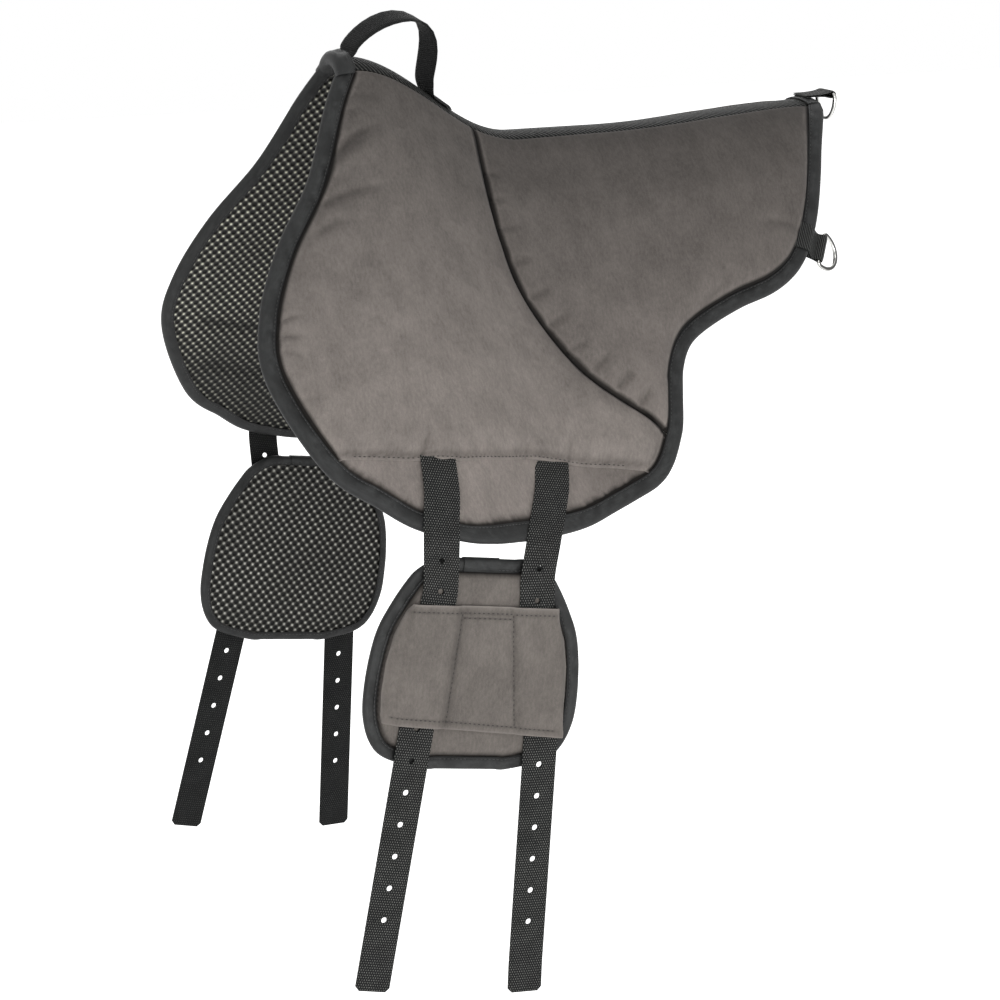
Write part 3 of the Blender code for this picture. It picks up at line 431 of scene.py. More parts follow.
class Finish:
    # a material with one Principled shader and the nodes that feed it
    def __init__(self, name, **fixed):
        self.material = bpy.data.materials.new(name)
        self.material.use_nodes = True
        self.tree = self.material.node_tree
        self.shader = self.tree.nodes["Principled BSDF"]
        for label, value in fixed.items():
            self.shader.inputs[label.replace("_", " ")].default_value = value

    def node(self, kind, settings=None, output=0, **inputs):
        node = self.tree.nodes.new("ShaderNode" + kind)
        for key, value in (settings or {}).items():
            setattr(node, key, value)
        for key, value in inputs.items():
            # an input goes by its name, or by i and its number
            socket = node.inputs[int(key[1:]) if key[1:].isdigit() else key.replace("_", " ")]
            if isinstance(value, Socket):
                self.tree.links.new(value.socket, socket)
            else:
                socket.default_value = value
        return Socket(self.tree, node.outputs[output])

    def mark(self, name, output=1):
        return self.node("Attribute", {"attribute_name": name}, output)

    def cloth(self):
        # where a point lies on its flat cloth, and that place's two lengths in metres
        at = self.mark("cloth")
        node = self.tree.nodes.new("ShaderNodeSeparateXYZ")
        self.tree.links.new(at.socket, node.inputs[0])
        return at, Socket(self.tree, node.outputs[0]), Socket(self.tree, node.outputs[1])

    def noise(self, vector, scale, detail=2.0, rough=0.5):
        return self.node("TexNoise", Vector=vector, Scale=scale, Detail=detail, Roughness=rough)

    def scaled(self, vector, by):
        return self.node("VectorMath", {"operation": "MULTIPLY"}, i0=vector, i1=by)

    def clamp(self, value, low, high):
        return self.node("MapRange", {"clamp": True}, Value=value, **{"From_Min": low, "From_Max": high})

    def times(self, colour, by):
        return self.node("VectorMath", {"operation": "SCALE"}, i0=colour, i3=by)

    def mix(self, share, first, second):
        def full(colour):
            return colour if isinstance(colour, Socket) else (*colour, 1.0)
        return self.node("Mix", {"data_type": "RGBA"}, 2, i0=share, i6=full(first), i7=full(second))

    def marked(self, name, share, base, colour):
        # the base turned towards a colour where a mark says so
        return self.mix(self.clamp(self.mark(name, 2), 0.0, 1.0) * share, base, colour)

    def wave(self, value, period):
        # 0 to 1 and back once each period
        return (value * (2 * math.pi / period)).maths("COSINE", None) * 0.5 + 0.5

    def feed(self, **links):
        for label, value in links.items():
            self.tree.links.new(value.socket, self.shader.inputs[label.replace("_", " ")])

    def bump(self, height, distance, strength=1.0):
        self.feed(Normal=self.node("Bump", Strength=strength, Distance=distance, Height=height))


# edge is the colour of the painted highlights along edges and seams, and groove the colour of the painted
# shade in creases and beside seams and binding
suedeLook = {"edge": (0.300, 0.272, 0.250), "groove": (0.0045, 0.0040, 0.0036), "nap": 0.19, "cloud": 0.23}


def makeSuede(name, high, low):
    # brushed suede, darker where it nears the spine as painted shade, with painted highlights where the edge
    # mark says so and painted shade where the shade mark says so
    f = Finish(name, Roughness=0.93, Sheen_Weight=0.06, Sheen_Roughness=0.5, Specular_IOR_Level=0.10)
    at, x, y = f.cloth()
    brushed = f.noise(f.scaled(at, (1, 0.55, 1)), 70.0, 5.0, 0.65)
    patch = f.noise(at, 16.0, 2.0, 0.5)
    streak = f.noise(f.scaled(at, (1, 0.42, 1)), 520.0, 2.0, 0.6)
    grain = f.noise(f.scaled(at, (1, 0.6, 1)), 1500.0, 2.0, 0.7)
    base = f.mix(f.clamp(y, 0.03, 0.29), high, low)
    cloud = f.clamp(brushed * 0.6 + patch * 0.4, 0.30, 0.70) - 0.5
    nap = f.clamp(streak * 0.55 + grain * 0.45, 0.32, 0.68) - 0.5
    base = f.times(base, 1.0 + cloud * suedeLook["cloud"] * 2 + nap * suedeLook["nap"] * 2)
    base = f.marked("edge", 0.6, base, suedeLook["edge"])
    base = f.marked("shade", 0.96, base, suedeLook["groove"])
    f.feed(Base_Color=base, Roughness=0.92 + nap * 0.10)
    f.bump(streak * 0.3 + grain * 0.4 + brushed * 0.5, 0.00026, 0.55)
    return f.material


def makeTape():
    f = Finish("bindingTape", Roughness=0.50, Sheen_Weight=0.03, Sheen_Roughness=0.4, Specular_IOR_Level=0.30)
    at, x, y = f.cloth()
    weft = f.wave(x + y * 0.6, 0.0011) * f.wave(y, 0.0009)
    cloud = f.noise(f.scaled(at, (1, 2.0, 1)), 120.0, 4.0, 0.65)
    base = f.mix(f.clamp(cloud, 0.32, 0.68), (0.0078, 0.0082, 0.0082), (0.0228, 0.0236, 0.0236))
    base = f.mix(weft * 0.18, base, (0.060, 0.062, 0.061))
    # painted shade in the rucks' hollows and painted highlights on their crests, from the ruck mark
    base = f.times(base, 0.45 + f.mark("ruck", 2) * 0.85)
    base = f.marked("shade", 0.95, base, (0.002, 0.002, 0.002))
    f.feed(Base_Color=base, Roughness=0.42 + cloud * 0.25)
    f.bump(weft * 0.4 + cloud * 1.0, 0.00030, 0.8)
    return f.material


def makeTwill(name, pitch, speckle, dark=(0.006, 0.0065, 0.0065), light=(0.30, 0.30, 0.28), back=0.25):
    # woven webbing: short bright floats on a black ground, plainer on its back
    f = Finish(name, Roughness=0.6, Specular_IOR_Level=0.14)
    at, x, y = f.cloth()
    row = f.node("Math", {"operation": "FLOOR"}, i0=y / pitch)
    across = f.wave(x / pitch + row * 0.5, 1.0)
    down = f.wave(y / pitch + 0.5, 1.0)
    weave = (across ** 1.5) * (down ** 0.9)
    wear = f.noise(at, 620.0, 2.0, 0.6)
    broad = f.noise(at, 60.0, 2.0, 0.5)
    shade = f.clamp(weave * (0.25 + wear * 1.0 + broad * 0.5), 0.28, 0.95)
    face = back + f.mark("outer", 2) * (1 - back)
    base = f.mix(shade * face * speckle, f.mix(broad, dark, tuple(c * 2.2 for c in dark)), light)
    f.feed(Base_Color=base, Roughness=0.74 - shade * 0.22)
    f.bump(weave, pitch * 0.30, 0.9)
    return f.material


def makeDiagonal(name, pitch):
    # twill tape: fine diagonal ridges
    f = Finish(name, Roughness=0.6, Specular_IOR_Level=0.16)
    at, x, y = f.cloth()
    ridge = f.wave(x + y * 0.9, pitch)
    wear = f.noise(at, 500.0, 2.0, 0.6)
    shade = f.clamp(ridge * (0.4 + wear * 0.9), 0.35, 1.0)
    base = f.mix(shade, (0.0035, 0.004, 0.004), (0.085, 0.085, 0.080))
    f.feed(Base_Color=base, Roughness=0.7 - shade * 0.2)
    f.bump(ridge, pitch * 0.3, 0.9)
    return f.material


def makeRibs(name, pitch):
    # ribbed tape: ribs that run across it
    f = Finish(name, Roughness=0.6, Specular_IOR_Level=0.16)
    at, x, y = f.cloth()
    rib = f.wave(y, pitch)
    twist = f.wave(x, pitch * 0.7)
    wear = f.noise(at, 500.0, 2.0, 0.6)
    base = f.mix(f.clamp(rib * 0.7 + twist * 0.15 + wear * 0.3, 0.55, 1.05), (0.006, 0.0065, 0.0065),
                 (0.125, 0.127, 0.121))
    f.feed(Base_Color=base, Roughness=0.70 - rib * 0.15)
    f.bump(rib * 0.85 + twist * 0.15, pitch * 0.35, 1.0)
    return f.material


meshLook = {"pitch": 0.0084, "row": 0.0041, "tilt": 6.0}


def makeSpacerMesh(name, level=1.0, hue=(0.80, 0.79, 0.72)):
    # staggered holes, black as painted shade, with a knit boss between each two that carries a painted
    # highlight
    f = Finish(name, Roughness=0.42, Specular_IOR_Level=0.22)
    at, x, y = f.cloth()
    drift = f.noise(at, 26.0, 1.0, 0.5)
    x, y = x + drift * 0.0030, y + drift * 0.0022
    tilt = math.radians(meshLook["tilt"])
    across = x * math.cos(tilt) + y * math.sin(tilt)
    down = y * math.cos(tilt) - x * math.sin(tilt)
    u = (across * (2 * math.pi / meshLook["pitch"])).maths("COSINE", None)
    v = (down * (math.pi / meshLook["row"])).maths("COSINE", None)
    turned = u * v
    hole = f.clamp(turned, 0.04, 0.34)
    boss = f.clamp(turned * -1.0, 0.36, 0.90)
    knot = f.clamp(turned * -1.0, -0.10, 0.30)
    yarn = f.noise(at, 1100.0, 2.0, 0.7)
    cloud = f.noise(at, 22.0, 2.0, 0.5)
    base = f.mix(yarn, (0.008, 0.008, 0.007), (0.060, 0.058, 0.051))
    base = f.mix(knot, base, f.mix(yarn, (0.050, 0.049, 0.044), (0.150, 0.147, 0.131)))
    base = f.mix(hole, base, (0.0015, 0.0015, 0.0012))
    # painted highlight on each boss
    lit = boss ** 1.4 * (0.30 + f.clamp(cloud, 0.3, 0.7) * 0.5 + f.clamp(yarn, 0.35, 0.65) * 0.6)
    base = f.mix(f.clamp(lit, 0.0, 1.0), base, hue)
    base = f.marked("shade", 0.7, base, (0.002, 0.002, 0.0018))
    f.feed(Base_Color=f.times(base, level), Roughness=0.60 - boss * 0.30)
    f.bump(turned * -1.0 + yarn * 0.2, 0.0016, 1.0)
    return f.material


def makeChrome():
    # painted reflection: the wire's colour is darker along its sides, standing in for a dark studio reflected
    # in polished wire
    f = Finish("polishedWire", Metallic=1.0, Roughness=0.14)
    at, x, y = f.cloth()
    scuff = f.noise(at, 700.0, 3.0, 0.6)
    haze = f.noise(at, 90.0, 2.0, 0.5)
    sides = f.wave(y, ringShape["wire"] * math.pi)
    base = f.mix(f.clamp(sides + (haze - 0.5) * 0.5, 0.25, 0.8), (0.07, 0.07, 0.068), (0.62, 0.62, 0.60))
    f.feed(Base_Color=base, Roughness=0.10 + f.clamp(scuff, 0.45, 0.8) * 0.12)
    f.bump(haze * 0.5 + scuff * 0.1, 0.0001, 0.2)
    return f.material


def makeThread(name, dark, light):
    f = Finish(name, Roughness=0.65, Sheen_Weight=0.1)
    at, x, y = f.cloth()
    twist = f.wave(x + y, 0.0008)
    wear = f.noise(at, 300.0, 2.0, 0.5)
    base = f.mix(f.clamp(twist * 0.5 + wear * 0.6, 0.3, 0.9), dark, light)
    f.feed(Base_Color=base, Roughness=0.55 + wear * 0.2)
    f.bump(twist, 0.0001, 0.5)
    return f.material


ringShape = {"swing": 24.0, "wire": 0.0019, "halfWidth": 0.0155, "depth": 0.0195, "shoulder": 0.0024,
             "bar": 0.86}
suede = makeSuede("suede", (0.106, 0.096, 0.089), (0.214, 0.191, 0.175))
# the seat's suede is a darker copy of the front's, as painted shade
shadedSeatSuede = makeSuede("shadedSeatSuede", (0.092, 0.083, 0.077), (0.190, 0.169, 0.155))
skirtSuede = makeSuede("skirtSuede", (0.106, 0.096, 0.089), (0.222, 0.197, 0.181))
guardSuede = makeSuede("guardSuede", (0.150, 0.135, 0.123), (0.143, 0.128, 0.117))
tape = makeTape()
spineTwill = makeDiagonal("spineTwill", 0.0040)
handleTwill = makeTwill("handleWebbing", 0.0016, 0.30, (0.0058, 0.006, 0.006), (0.060, 0.060, 0.056), 1.0)
billetWeave = makeTwill("billetWeave", 0.0021, 0.66)
tabRibs = makeRibs("tabRibs", 0.0015)
# the lining's copy of the mesh is brighter, as painted light for a lining that faces away from the lamps
spacerMesh = makeSpacerMesh("spacerMesh", 0.87)
liningMesh = makeSpacerMesh("liningMesh", 1.42, (0.80, 0.79, 0.66))
chrome = makeChrome()
blackThread = makeThread("blackThread", (0.020, 0.021, 0.021), (0.055, 0.057, 0.055))
seamThread = makeThread("seamThread", (0.012, 0.010, 0.009), (0.036, 0.031, 0.028))
print("finishes made")

# puckerDark is the painted shade in the puckers' hollows
panel = {"spacing": 0.0024, "loopStep": 0.0018, "rimReach": 0.024, "lowerReach": 0.018, "hem": 0.0045,
         "tuck": 0.006, "spineRoll": 0.005, "spineReach": 0.078, "spineFrom": -0.006, "rollShare": 0.17,
         "dome": 0.14, "domeReach": 0.09, "deepFolds": 2.1, "fullBody": 0.55, "puckerDark": 0.16,
         "puckerDeep": 0.0010, "puckerFrom": 0.003, "puckerTo": 0.009, "skirtSpacing": 0.0026,
         "liningSpacing": 0.0034, "liningTuck": 0.0085, "rowStep": 0.0016,
         "rimRows": (-0.0008, 0.0010, 0.0031), "seamRows": (-0.0040, -0.0018, 0.0018, 0.0040)}
# The lip of the pocket that the billets come out of, and how far it stands up over each of them
lip = {"height": 0.0006, "overBillet": 0.0023, "billetHalf": 0.013, "fade": 0.005, "reach": 0.012,
       "fromRim": 0.002}
# Painted highlights along the edges as a share, a place and a width, and the painted shade lines along rim
# and seam
paintedEdges = {"spine": (0.6, 0.0014), "rim": (0.40, 0.0042, 0.0011), "lip": (0.45, 0.55, 0.0009),
        "lipDark": (0.25, 0.0016), "rimDark": (0.0008, 0.0030), "seamDark": 0.95, "seamDarkFrom": 0.0012}
# Soft folds on the front panel: pattern points in mm, the reach to each side and the height in mm
folds = [(((-27, 90), (-5, 75), (22, 68)), 6.5, -2.2), (((-38, 108), (-12, 92), (18, 84)), 8.0, 1.4),
         (((-46, 132), (-22, 126), (16, 124)), 6.5, -1.9), (((-20, 61), (-10, 55), (4, 52)), 5.0, -1.3),
         (((-56, 157), (-41, 151), (-20, 150)), 6.5, -1.4), (((-102, 226), (-84, 223)), 3.6, -1.5),
         (((-103, 238), (-84, 243)), 3.6, -1.5), (((-103, 251), (-86, 260)), 3.6, -1.1),
         (((-9, 360), (-3, 347), (3, 326)), 4.5, -2.0), (((88, 333), (91, 322), (93, 302)), 4.0, -1.6),
         (((129, 318), (132, 305), (135, 280)), 4.0, -1.8), (((24, 362), (24, 344)), 3.5, -1.3),
         (((60, 355), (62, 338)), 4.0, -1.0), (((165, 322), (167, 300)), 4.0, -1.2),
         (((-50, 356), (-44, 338)), 4.0, -1.0), (((-2, 40), (24, 44)), 5.0, -1.0)]
# The same for the seat panel, which is drawn in along its curved seam
seatFolds = [(((152, 214), (170, 206)), 4.5, -1.4), (((140, 190), (160, 180)), 4.5, -1.4),
             (((128, 168), (148, 158)), 4.0, -1.2), (((118, 140), (136, 132)), 4.0, -1.2),
             (((113, 112), (132, 106)), 4.0, -1.1), (((110, 86), (128, 82)), 4.0, -1.0),
             (((110, 62), (126, 60)), 4.0, -1.0), (((170, 232), (186, 220)), 4.5, -1.5),
             (((188, 250), (204, 236)), 4.5, -1.6), (((204, 268), (216, 252)), 4.5, -1.5),
             (((217, 296), (213, 285), (206, 270)), 5.0, -1.8),
             (((383, 141), (365, 133), (340, 131)), 7.0, -1.4),
             (((259, 211), (284, 189), (316, 165)), 7.0, -1.2), (((236, 246), (250, 226)), 6.0, -1.4)]
# Puckers are a seed, a pitch, a depth and a reach; hills are a height, a pitch and a seed
# seamEdge is a painted highlight beside the seam as a share, a place and a width; seamDarkTo is where the
# painted shade along the seam ends
panels = {
    "front": {"height": 0.0130, "seamReach": 0.020, "fill": 0.6, "finish": suede, "folds": folds,
              "puckers": {"rim": (11, 0.011, 0.0011, 0.016), "seam": (21, 0.014, 0.0010, 0.012),
                          "low": (31, 0.010, 0.0012, 0.014), "top": (41, 0.010, 0.0006, 0.010)},
              "hills": ((0.0009, 0.032, 3), (0.0005, 0.014, 4)), "seamEdge": (0.4, 0.0030, 0.0013),
              "seamDarkTo": 0.0038},
    "seat": {"height": 0.0170, "seamReach": 0.023, "fill": 0.7, "finish": shadedSeatSuede, "folds": seatFolds,
             "puckers": {"rim": (12, 0.011, 0.0010, 0.016), "seam": (22, 0.008, 0.0012, 0.012),
                         "top": (42, 0.008, 0.0006, 0.008)},
             "hills": ((0.0008, 0.036, 5), (0.0004, 0.015, 6)), "seamEdge": (0.3, 0.0034, 0.0014),
             "seamDarkTo": 0.0040}}
billetSpots = (0.018 * back["length"], 0.248 * back["length"])
topEdgeDown = cloth["webbingHalf"] + cloth["spineGap"]


def foldedBy(points, lines):
    # the folds' heights, and painted shade in each crease
    total, dark = np.zeros(len(points)), np.zeros(len(points))
    for line, reach, height in lines:
        line = smoothLine(np.array(line, float) / 1000, 9)
        distance, arc = edgeField(points, line)
        fade = 1 - ease(np.clip(arc / arcLength(line)[-1], 0, 1), 0.40, 1.0)
        reach = reach / 1000
        total += panel["deepFolds"] * height / 1000 * np.exp(-(distance / (reach * 0.8)) ** 2) * fade
        dark += max(-height, 0) * 0.17 * np.exp(-(distance / (reach * 0.42)) ** 2) * fade
    return total, np.minimum(dark, 0.30)


def hillsOf(points, height, pitch, seed):
    return height * patches(points, pitch, seed)


def puckersOf(distance, arc, seed, pitch, depth, reach):
    # small gathers beside a sewn line
    near = np.exp(-np.maximum(distance, 0) / reach) * ease(distance, 0.0, 0.004)
    return depth * near * (ripple(arc, pitch, seed) + 0.25 * ripple(arc, pitch * 0.5, seed + 1))


lowerSeam, panelSeam = outline("lowerSeam"), outline("panelSeam")
rimParts = [pattern["front"], pattern["skirt"], pattern["corner"], pattern["waist"], pattern["rear"][::-1]]
rim = smoothLine(np.concatenate([rimParts[0]] + [part[1:] for part in rimParts[1:]]) * scale, 560)
turns = [((rim - np.array(part[-1]) * scale) ** 2).sum(1).argmin() for part in rimParts]
front, skirtLow, corner = rim[:turns[0] + 1], rim[turns[0]:turns[1] + 1], rim[turns[1]:turns[2] + 1]
waist, rear = rim[turns[2]:turns[3] + 1], rim[turns[3]:][::-1]
rimNormals = lineNormals(rim)
for _ in range(4):
    rimNormals[1:-1] = (rimNormals[:-2] + rimNormals[1:-1] * 2 + rimNormals[2:]) / 4
rimNormals[0], rimNormals[-1] = (-1.0, 0.0), (1.0, 0.0)
rimNormals = unitRows(rimNormals)


def outward(line, distance):
    # a rim line moved out into the binding's slot
    near = ((line[:, None] - rim[None]) ** 2).sum(-1).argmin(1)
    return line + rimNormals[near] * distance


def trimmed(line, step=0.0035):
    # the same line with points no closer than a step
    kept = [line[0]]
    for p in line[1:]:
        if np.linalg.norm(p - kept[-1]) > step:
            kept.append(p)
    if np.linalg.norm(kept[0] - kept[-1]) < step:
        kept.pop()
    return np.array(kept)


def spineShape(topGap):
    # a small roll at the webbing's edge, then a slow rise, so that the webbing stays the highest line
    roll = rounded(np.maximum(topGap, 0), panel["spineRoll"])
    rise = ease(topGap, panel["spineFrom"], panel["spineReach"])
    return panel["rollShare"] * roll + (1 - panel["rollShare"]) * rise


def panelHeights(points, kind):
    # a panel's height over its cloth, its painted edge highlights, and its painted shade in creases and along
    # rim, seam and hem
    hemmed = "low" in kind["puckers"]
    rimGap, rimArc = edgeField(points, rim)
    seamGap, seamArc = edgeField(points, panelSeam)
    rimGap, seamGap, topGap = -rimGap, np.abs(seamGap), points[:, 1] - topEdgeDown
    gaps = {"rim": (rimGap, rimArc), "seam": (seamGap, seamArc), "top": (topGap, points[:, 0])}
    nearest = inner = np.minimum(rimGap, seamGap)
    body = (rounded(np.maximum(rimGap, 0), panel["rimReach"]) * rounded(seamGap, kind["seamReach"])
            * spineShape(topGap))
    if hemmed:
        lowGap, lowArc = edgeField(points, np.concatenate([lowerSeam, corner[1:]]))
        lowGap = np.abs(lowGap)
        gaps["low"] = (lowGap - panel["hem"], lowArc)
        inner = np.minimum(nearest, lowGap)
        body *= rounded(np.maximum(gaps["low"][0], 0), panel["lowerReach"])
    body *= 1 - panel["dome"] + panel["dome"] * rounded(inner.clip(0), panel["domeReach"])
    soft, dark = foldedBy(points, kind["folds"])
    drawn = sum(puckersOf(*gaps[edge], *shape) for edge, shape in kind["puckers"].items())
    soft += drawn + sum(hillsOf(points, *hill) for hill in kind["hills"])
    # painted shade in the puckers' hollows
    dark += (panel["puckerDark"] * np.clip(-drawn / panel["puckerDeep"], 0, 1)
             * ease(nearest, panel["puckerFrom"], panel["puckerTo"]))
    height = np.maximum(kind["height"] * body + soft * ease(body, 0.0, panel["fullBody"]), 0)
    # painted highlights along the spine, the seam and the rim, and painted shade along the rim, the seam and
    # in the creases
    edge = paintedEdges["spine"][0] * bell(np.maximum(topGap, 0), paintedEdges["spine"][1])
    for gap, (share, place, width) in ((seamGap, kind["seamEdge"]), (rimGap, paintedEdges["rim"])):
        edge += share * bell(gap - place, width)
    shade = 1 - ease(rimGap, *paintedEdges["rimDark"]) + dark
    shade += paintedEdges["seamDark"] * (1 - ease(seamGap, paintedEdges["seamDarkFrom"], kind["seamDarkTo"]))
    if hemmed:
        over = sum(bell(np.maximum(np.abs(points[:, 0] - x) - lip["billetHalf"], 0), lip["fade"])
                   for x in billetSpots)
        nearHem = (1 - ease(lowGap, panel["hem"], panel["hem"] + lip["reach"])) * (rimGap > lip["fromRim"])
        height += (lip["height"] + lip["overBillet"] * over) * nearHem
        # a painted highlight along the lip, brighter over the billets, and painted shade along the hem
        edge += (paintedEdges["lip"][0] + paintedEdges["lip"][1] * np.clip(over, 0, 1)) * bell(lowGap, paintedEdges["lip"][2])
        shade += paintedEdges["lipDark"][0] * bell(lowGap - panel["hem"], paintedEdges["lipDark"][1])
    return height, edge, shade


def besideSeam(sign):
    return panelSeam + lineNormals(panelSeam) * cloth["seamGap"] / 2 * sign


def topLine(a, b):
    return np.linspace(a, b, max(int(abs(a[0] - b[0]) / 0.004), 3))


def loopOf(*lines):
    return trimmed(np.concatenate(lines), panel["loopStep"])


seamFront, seamSeat = besideSeam(1.0), besideSeam(-1.0)
if seamFront[4, 0] > seamSeat[4, 0]:
    seamFront, seamSeat = seamSeat, seamFront
frontOut, cornerOut, rearOut, waistOut, skirtOut = (outward(part, panel["tuck"])
                                                    for part in (front, corner, rear, waist, skirtLow))
liningOut = outward(rim, panel["liningTuck"])
frontLoop = loopOf(topLine(frontOut[0], seamFront[0]), seamFront[1:], cornerOut[::-1][1:],
                   lowerSeam[::-1][1:-1], frontOut[::-1])
seatLoop = loopOf(topLine(seamSeat[0], rearOut[0]), rearOut[1:], waistOut[::-1][1:], seamSeat[::-1][1:])
skirtLoop = loopOf((lowerSeam - (0.0, panel["tuck"]))[2:-2], skirtOut[::-1])
liningLoop = loopOf(topLine(liningOut[0], liningOut[-1]), liningOut[::-1][1:])
# Rows of points on both sides of rim and seam keep the painted shade lines crisp
rimRows = [trimmed(smoothLine(rim - rimNormals * inset, 1100), panel["rowStep"])
           for inset in panel["rimRows"]]
seamLine = smoothLine(panelSeam, 220)
seamRows = [seamLine + lineNormals(seamLine) * inset for inset in panel["seamRows"]]
frontCut = cutCloth(frontLoop, panel["spacing"], along=rimRows + seamRows)
seatCut = cutCloth(seatLoop, panel["spacing"], along=rimRows + seamRows)
skirtCut = cutCloth(skirtLoop, panel["skirtSpacing"], along=rimRows)
liningCut = cutCloth(liningLoop, panel["liningSpacing"])
print("cloth cut:", len(frontCut[0]), len(seatCut[0]), len(skirtCut[0]), len(liningCut[0]), "points")


def bendOver(piece):
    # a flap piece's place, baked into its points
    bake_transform(piece)


def makePanels(name, side):
    for part, (points, faces) in (("front", frontCut), ("seat", seatCut)):
        kind = panels[part]
        rise, edge, shade = panelHeights(points, kind)
        pad = makeSheet(f"{name}_{part}_pad", points, faces, onBack(points, coverFloor, side),
                        onBack(points, coverTop + rise, side), kind["finish"], {"edge": edge, "shade": shade},
                        slot="suede")
        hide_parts(f"{name}_{part}_panel", f"{name}_{part}_foam")
        bendOver(pad)


# the skirt carries an uneven band of painted shade along the binding, and painted shade that deepens towards
# its rear
skirtLook = {"hills": (0.0006, 0.030, 7), "calm": 0.012, "puckers": (51, 0.009, 0.0005, 0.010),
             "darkRim": 0.0034, "raggedShade": (0.0010, 0.0024, 52), "darkRear": 0.22, "rearSpan": (0.100, 0.165)}


def makeSkirt(name, side):
    points, faces = skirtCut
    rimGap, rimArc = edgeField(points, rim)
    wavy = hillsOf(points, *skirtLook["hills"]) * ease(-rimGap, 0.0, skirtLook["calm"])
    wavy = np.maximum(wavy + puckersOf(-rimGap, rimArc, *skirtLook["puckers"]), 0)
    uneven, pitch, seed = skirtLook["raggedShade"]
    shade = bell(np.maximum(-rimGap, 0), skirtLook["darkRim"] + uneven * ripple(rimArc, pitch, seed))
    shade += skirtLook["darkRear"] * ease(points[:, 0], *skirtLook["rearSpan"])
    skirt = makeSheet(f"{name}_skirt_cover", points, faces, onBack(points, coverFloor + wavy, side),
                      onBack(points, coverFloor + wavy + cloth["cover"], side), skirtSuede,
                      {"edge": np.zeros(len(points)), "shade": shade}, slot="suede")
    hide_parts(f"{name}_skirt")
    sheetOf(skirtLoop)
    bendOver(skirt)


liningCreases = [(((-81, 271), (-54, 281), (-25, 289), (30, 296)), 6.0, -3.0),
                 (((-70, 322), (-41, 332), (-13, 344), (40, 352)), 6.0, -3.0)]
# creaseDark is the painted shade in the lining's creases, and lowDark the painted shade over its lower part,
# across lowSpan
liningLook = {"calm": 0.020, "hills": (0.0005, 0.050, 8), "creased": 0.4, "deepest": -0.001, "sag": 0.0015,
              "creaseDark": 2.6, "lowDark": 0.9, "lowSpan": (0.235, 0.350)}


def makeLining(name, side):
    points, faces = liningCut
    rimGap, _ = edgeField(points, rim)
    inside = ease(-rimGap, 0.0, liningLook["calm"])
    crease, dark = foldedBy(points, liningCreases)
    crease = np.maximum(crease * liningLook["creased"], liningLook["deepest"])
    sag = inside * (hillsOf(points, *liningLook["hills"]) + crease + liningLook["sag"])
    low = onBack(points, -sag, side)
    high = onBack(points, cloth["lining"], side)
    lowDown = ease(points[:, 1], *liningLook["lowSpan"])
    dark = dark * liningLook["creaseDark"] + liningLook["lowDark"] * lowDown
    lining = makeSheet(f"{name}_lining", points, faces, low, high, liningMesh, {"shade": dark},
                       slot="spacer_mesh")
    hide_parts(f"{name}_mesh_lining")
    sheetOf(liningLoop)
    bendOver(lining)


tapeShape = {"lead": 0.0006, "underLead": 0.0036, "groove": 0.0024, "underGroove": 0.0056, "bulge": 0.0005,
             "rucks": ((0.00040, 0.0075), (0.00026, 0.0036)), "ruckAt": 0.0055, "ruckWidth": 0.0045,
             "ruckFull": 0.00034}


def tapeSection(width, top, low):
    # a folded tape's section as (distance out, lift): out over the edge, round it, and back on the inside
    half = (top + tapeShape["bulge"] - low) / 2
    radius = min(half, width * 0.30)
    centre = low + half
    outer = [(tapeShape["lead"], top - 0.0003), (0.0014, top + 0.0001), (tapeShape["groove"], top - 0.0003),
             (0.0036, top + 0.0003), (width * 0.42, top + tapeShape["bulge"]),
             (width - radius, top + tapeShape["bulge"])]
    for k in range(1, 8):
        angle = math.pi / 2 - math.pi * k / 8
        outer.append((width - radius + radius * math.cos(angle), centre + half * math.sin(angle)))
    outer += [(width - radius, low), (width * 0.55, low), (tapeShape["underLead"], low)]
    inner = []
    thick = cloth["tape"]
    for k, (out, lift) in enumerate(outer):
        a, b = outer[max(k - 1, 0)], outer[min(k + 1, len(outer) - 1)]
        run = Vector((b[0] - a[0], b[1] - a[1])).normalized()
        inner.append((out + run.y * thick, lift - run.x * thick))
    inner[0] = (outer[0][0], outer[0][1] - thick)
    inner[-1] = (outer[-1][0], outer[-1][1] + thick)
    return np.array(outer + inner[::-1])


def sweepTape(name, line, normals, place, section, seed, closed=False, rucks=2.0, **words):
    arcs, half = arcLength(line), len(section) // 2
    across = np.concatenate([arcLength(section[:half]), arcLength(section[:half])[::-1]])
    out = np.repeat(section[:, 0][None], len(line), 0)
    spots = np.stack([(arcs[:, None] + out * 0.9).ravel(), (out * 0.5).ravel()], 1)
    ruck = rucks * sum(high * patches(spots, pitch, seed + k)
                       for k, (high, pitch) in enumerate(tapeShape["rucks"]))
    ruck = ruck.reshape(out.shape) * bell(out - tapeShape["ruckAt"], tapeShape["ruckWidth"])
    if closed:
        ruck *= (ease(arcs, 0, 0.01) * (1 - ease(arcs, arcs[-1] - 0.01, arcs[-1])))[:, None]
    lift = section[:, 1][None] + ruck
    # painted shade along the tape's inner edge, its groove and its under edge
    dark = 1 - ease(out, 0.0008, 0.0021) + 0.5 * bell(out - 0.0028, 0.0006)
    underLead = tapeShape["underLead"]
    dark += (1 - ease(out, underLead + 0.0006, underLead + 0.0020)) * (lift < 0.0005)
    # the ruck mark paints shade in the rucks' hollows and highlights on their crests
    marks = {"shade": dark, "ruck": np.clip(0.6 + ruck / (tapeShape["ruckFull"] * rucks), 0, 1)}
    rings = place(line[:, None] + normals[:, None] * out[..., None], lift)
    piece = makeSweep(name, rings, gridMarks(arcs[:, None], across[None]), tape, closed, marks,
                      slot="binding_tape", **words)
    middle = line + normals * section[:, 0].mean()
    return piece


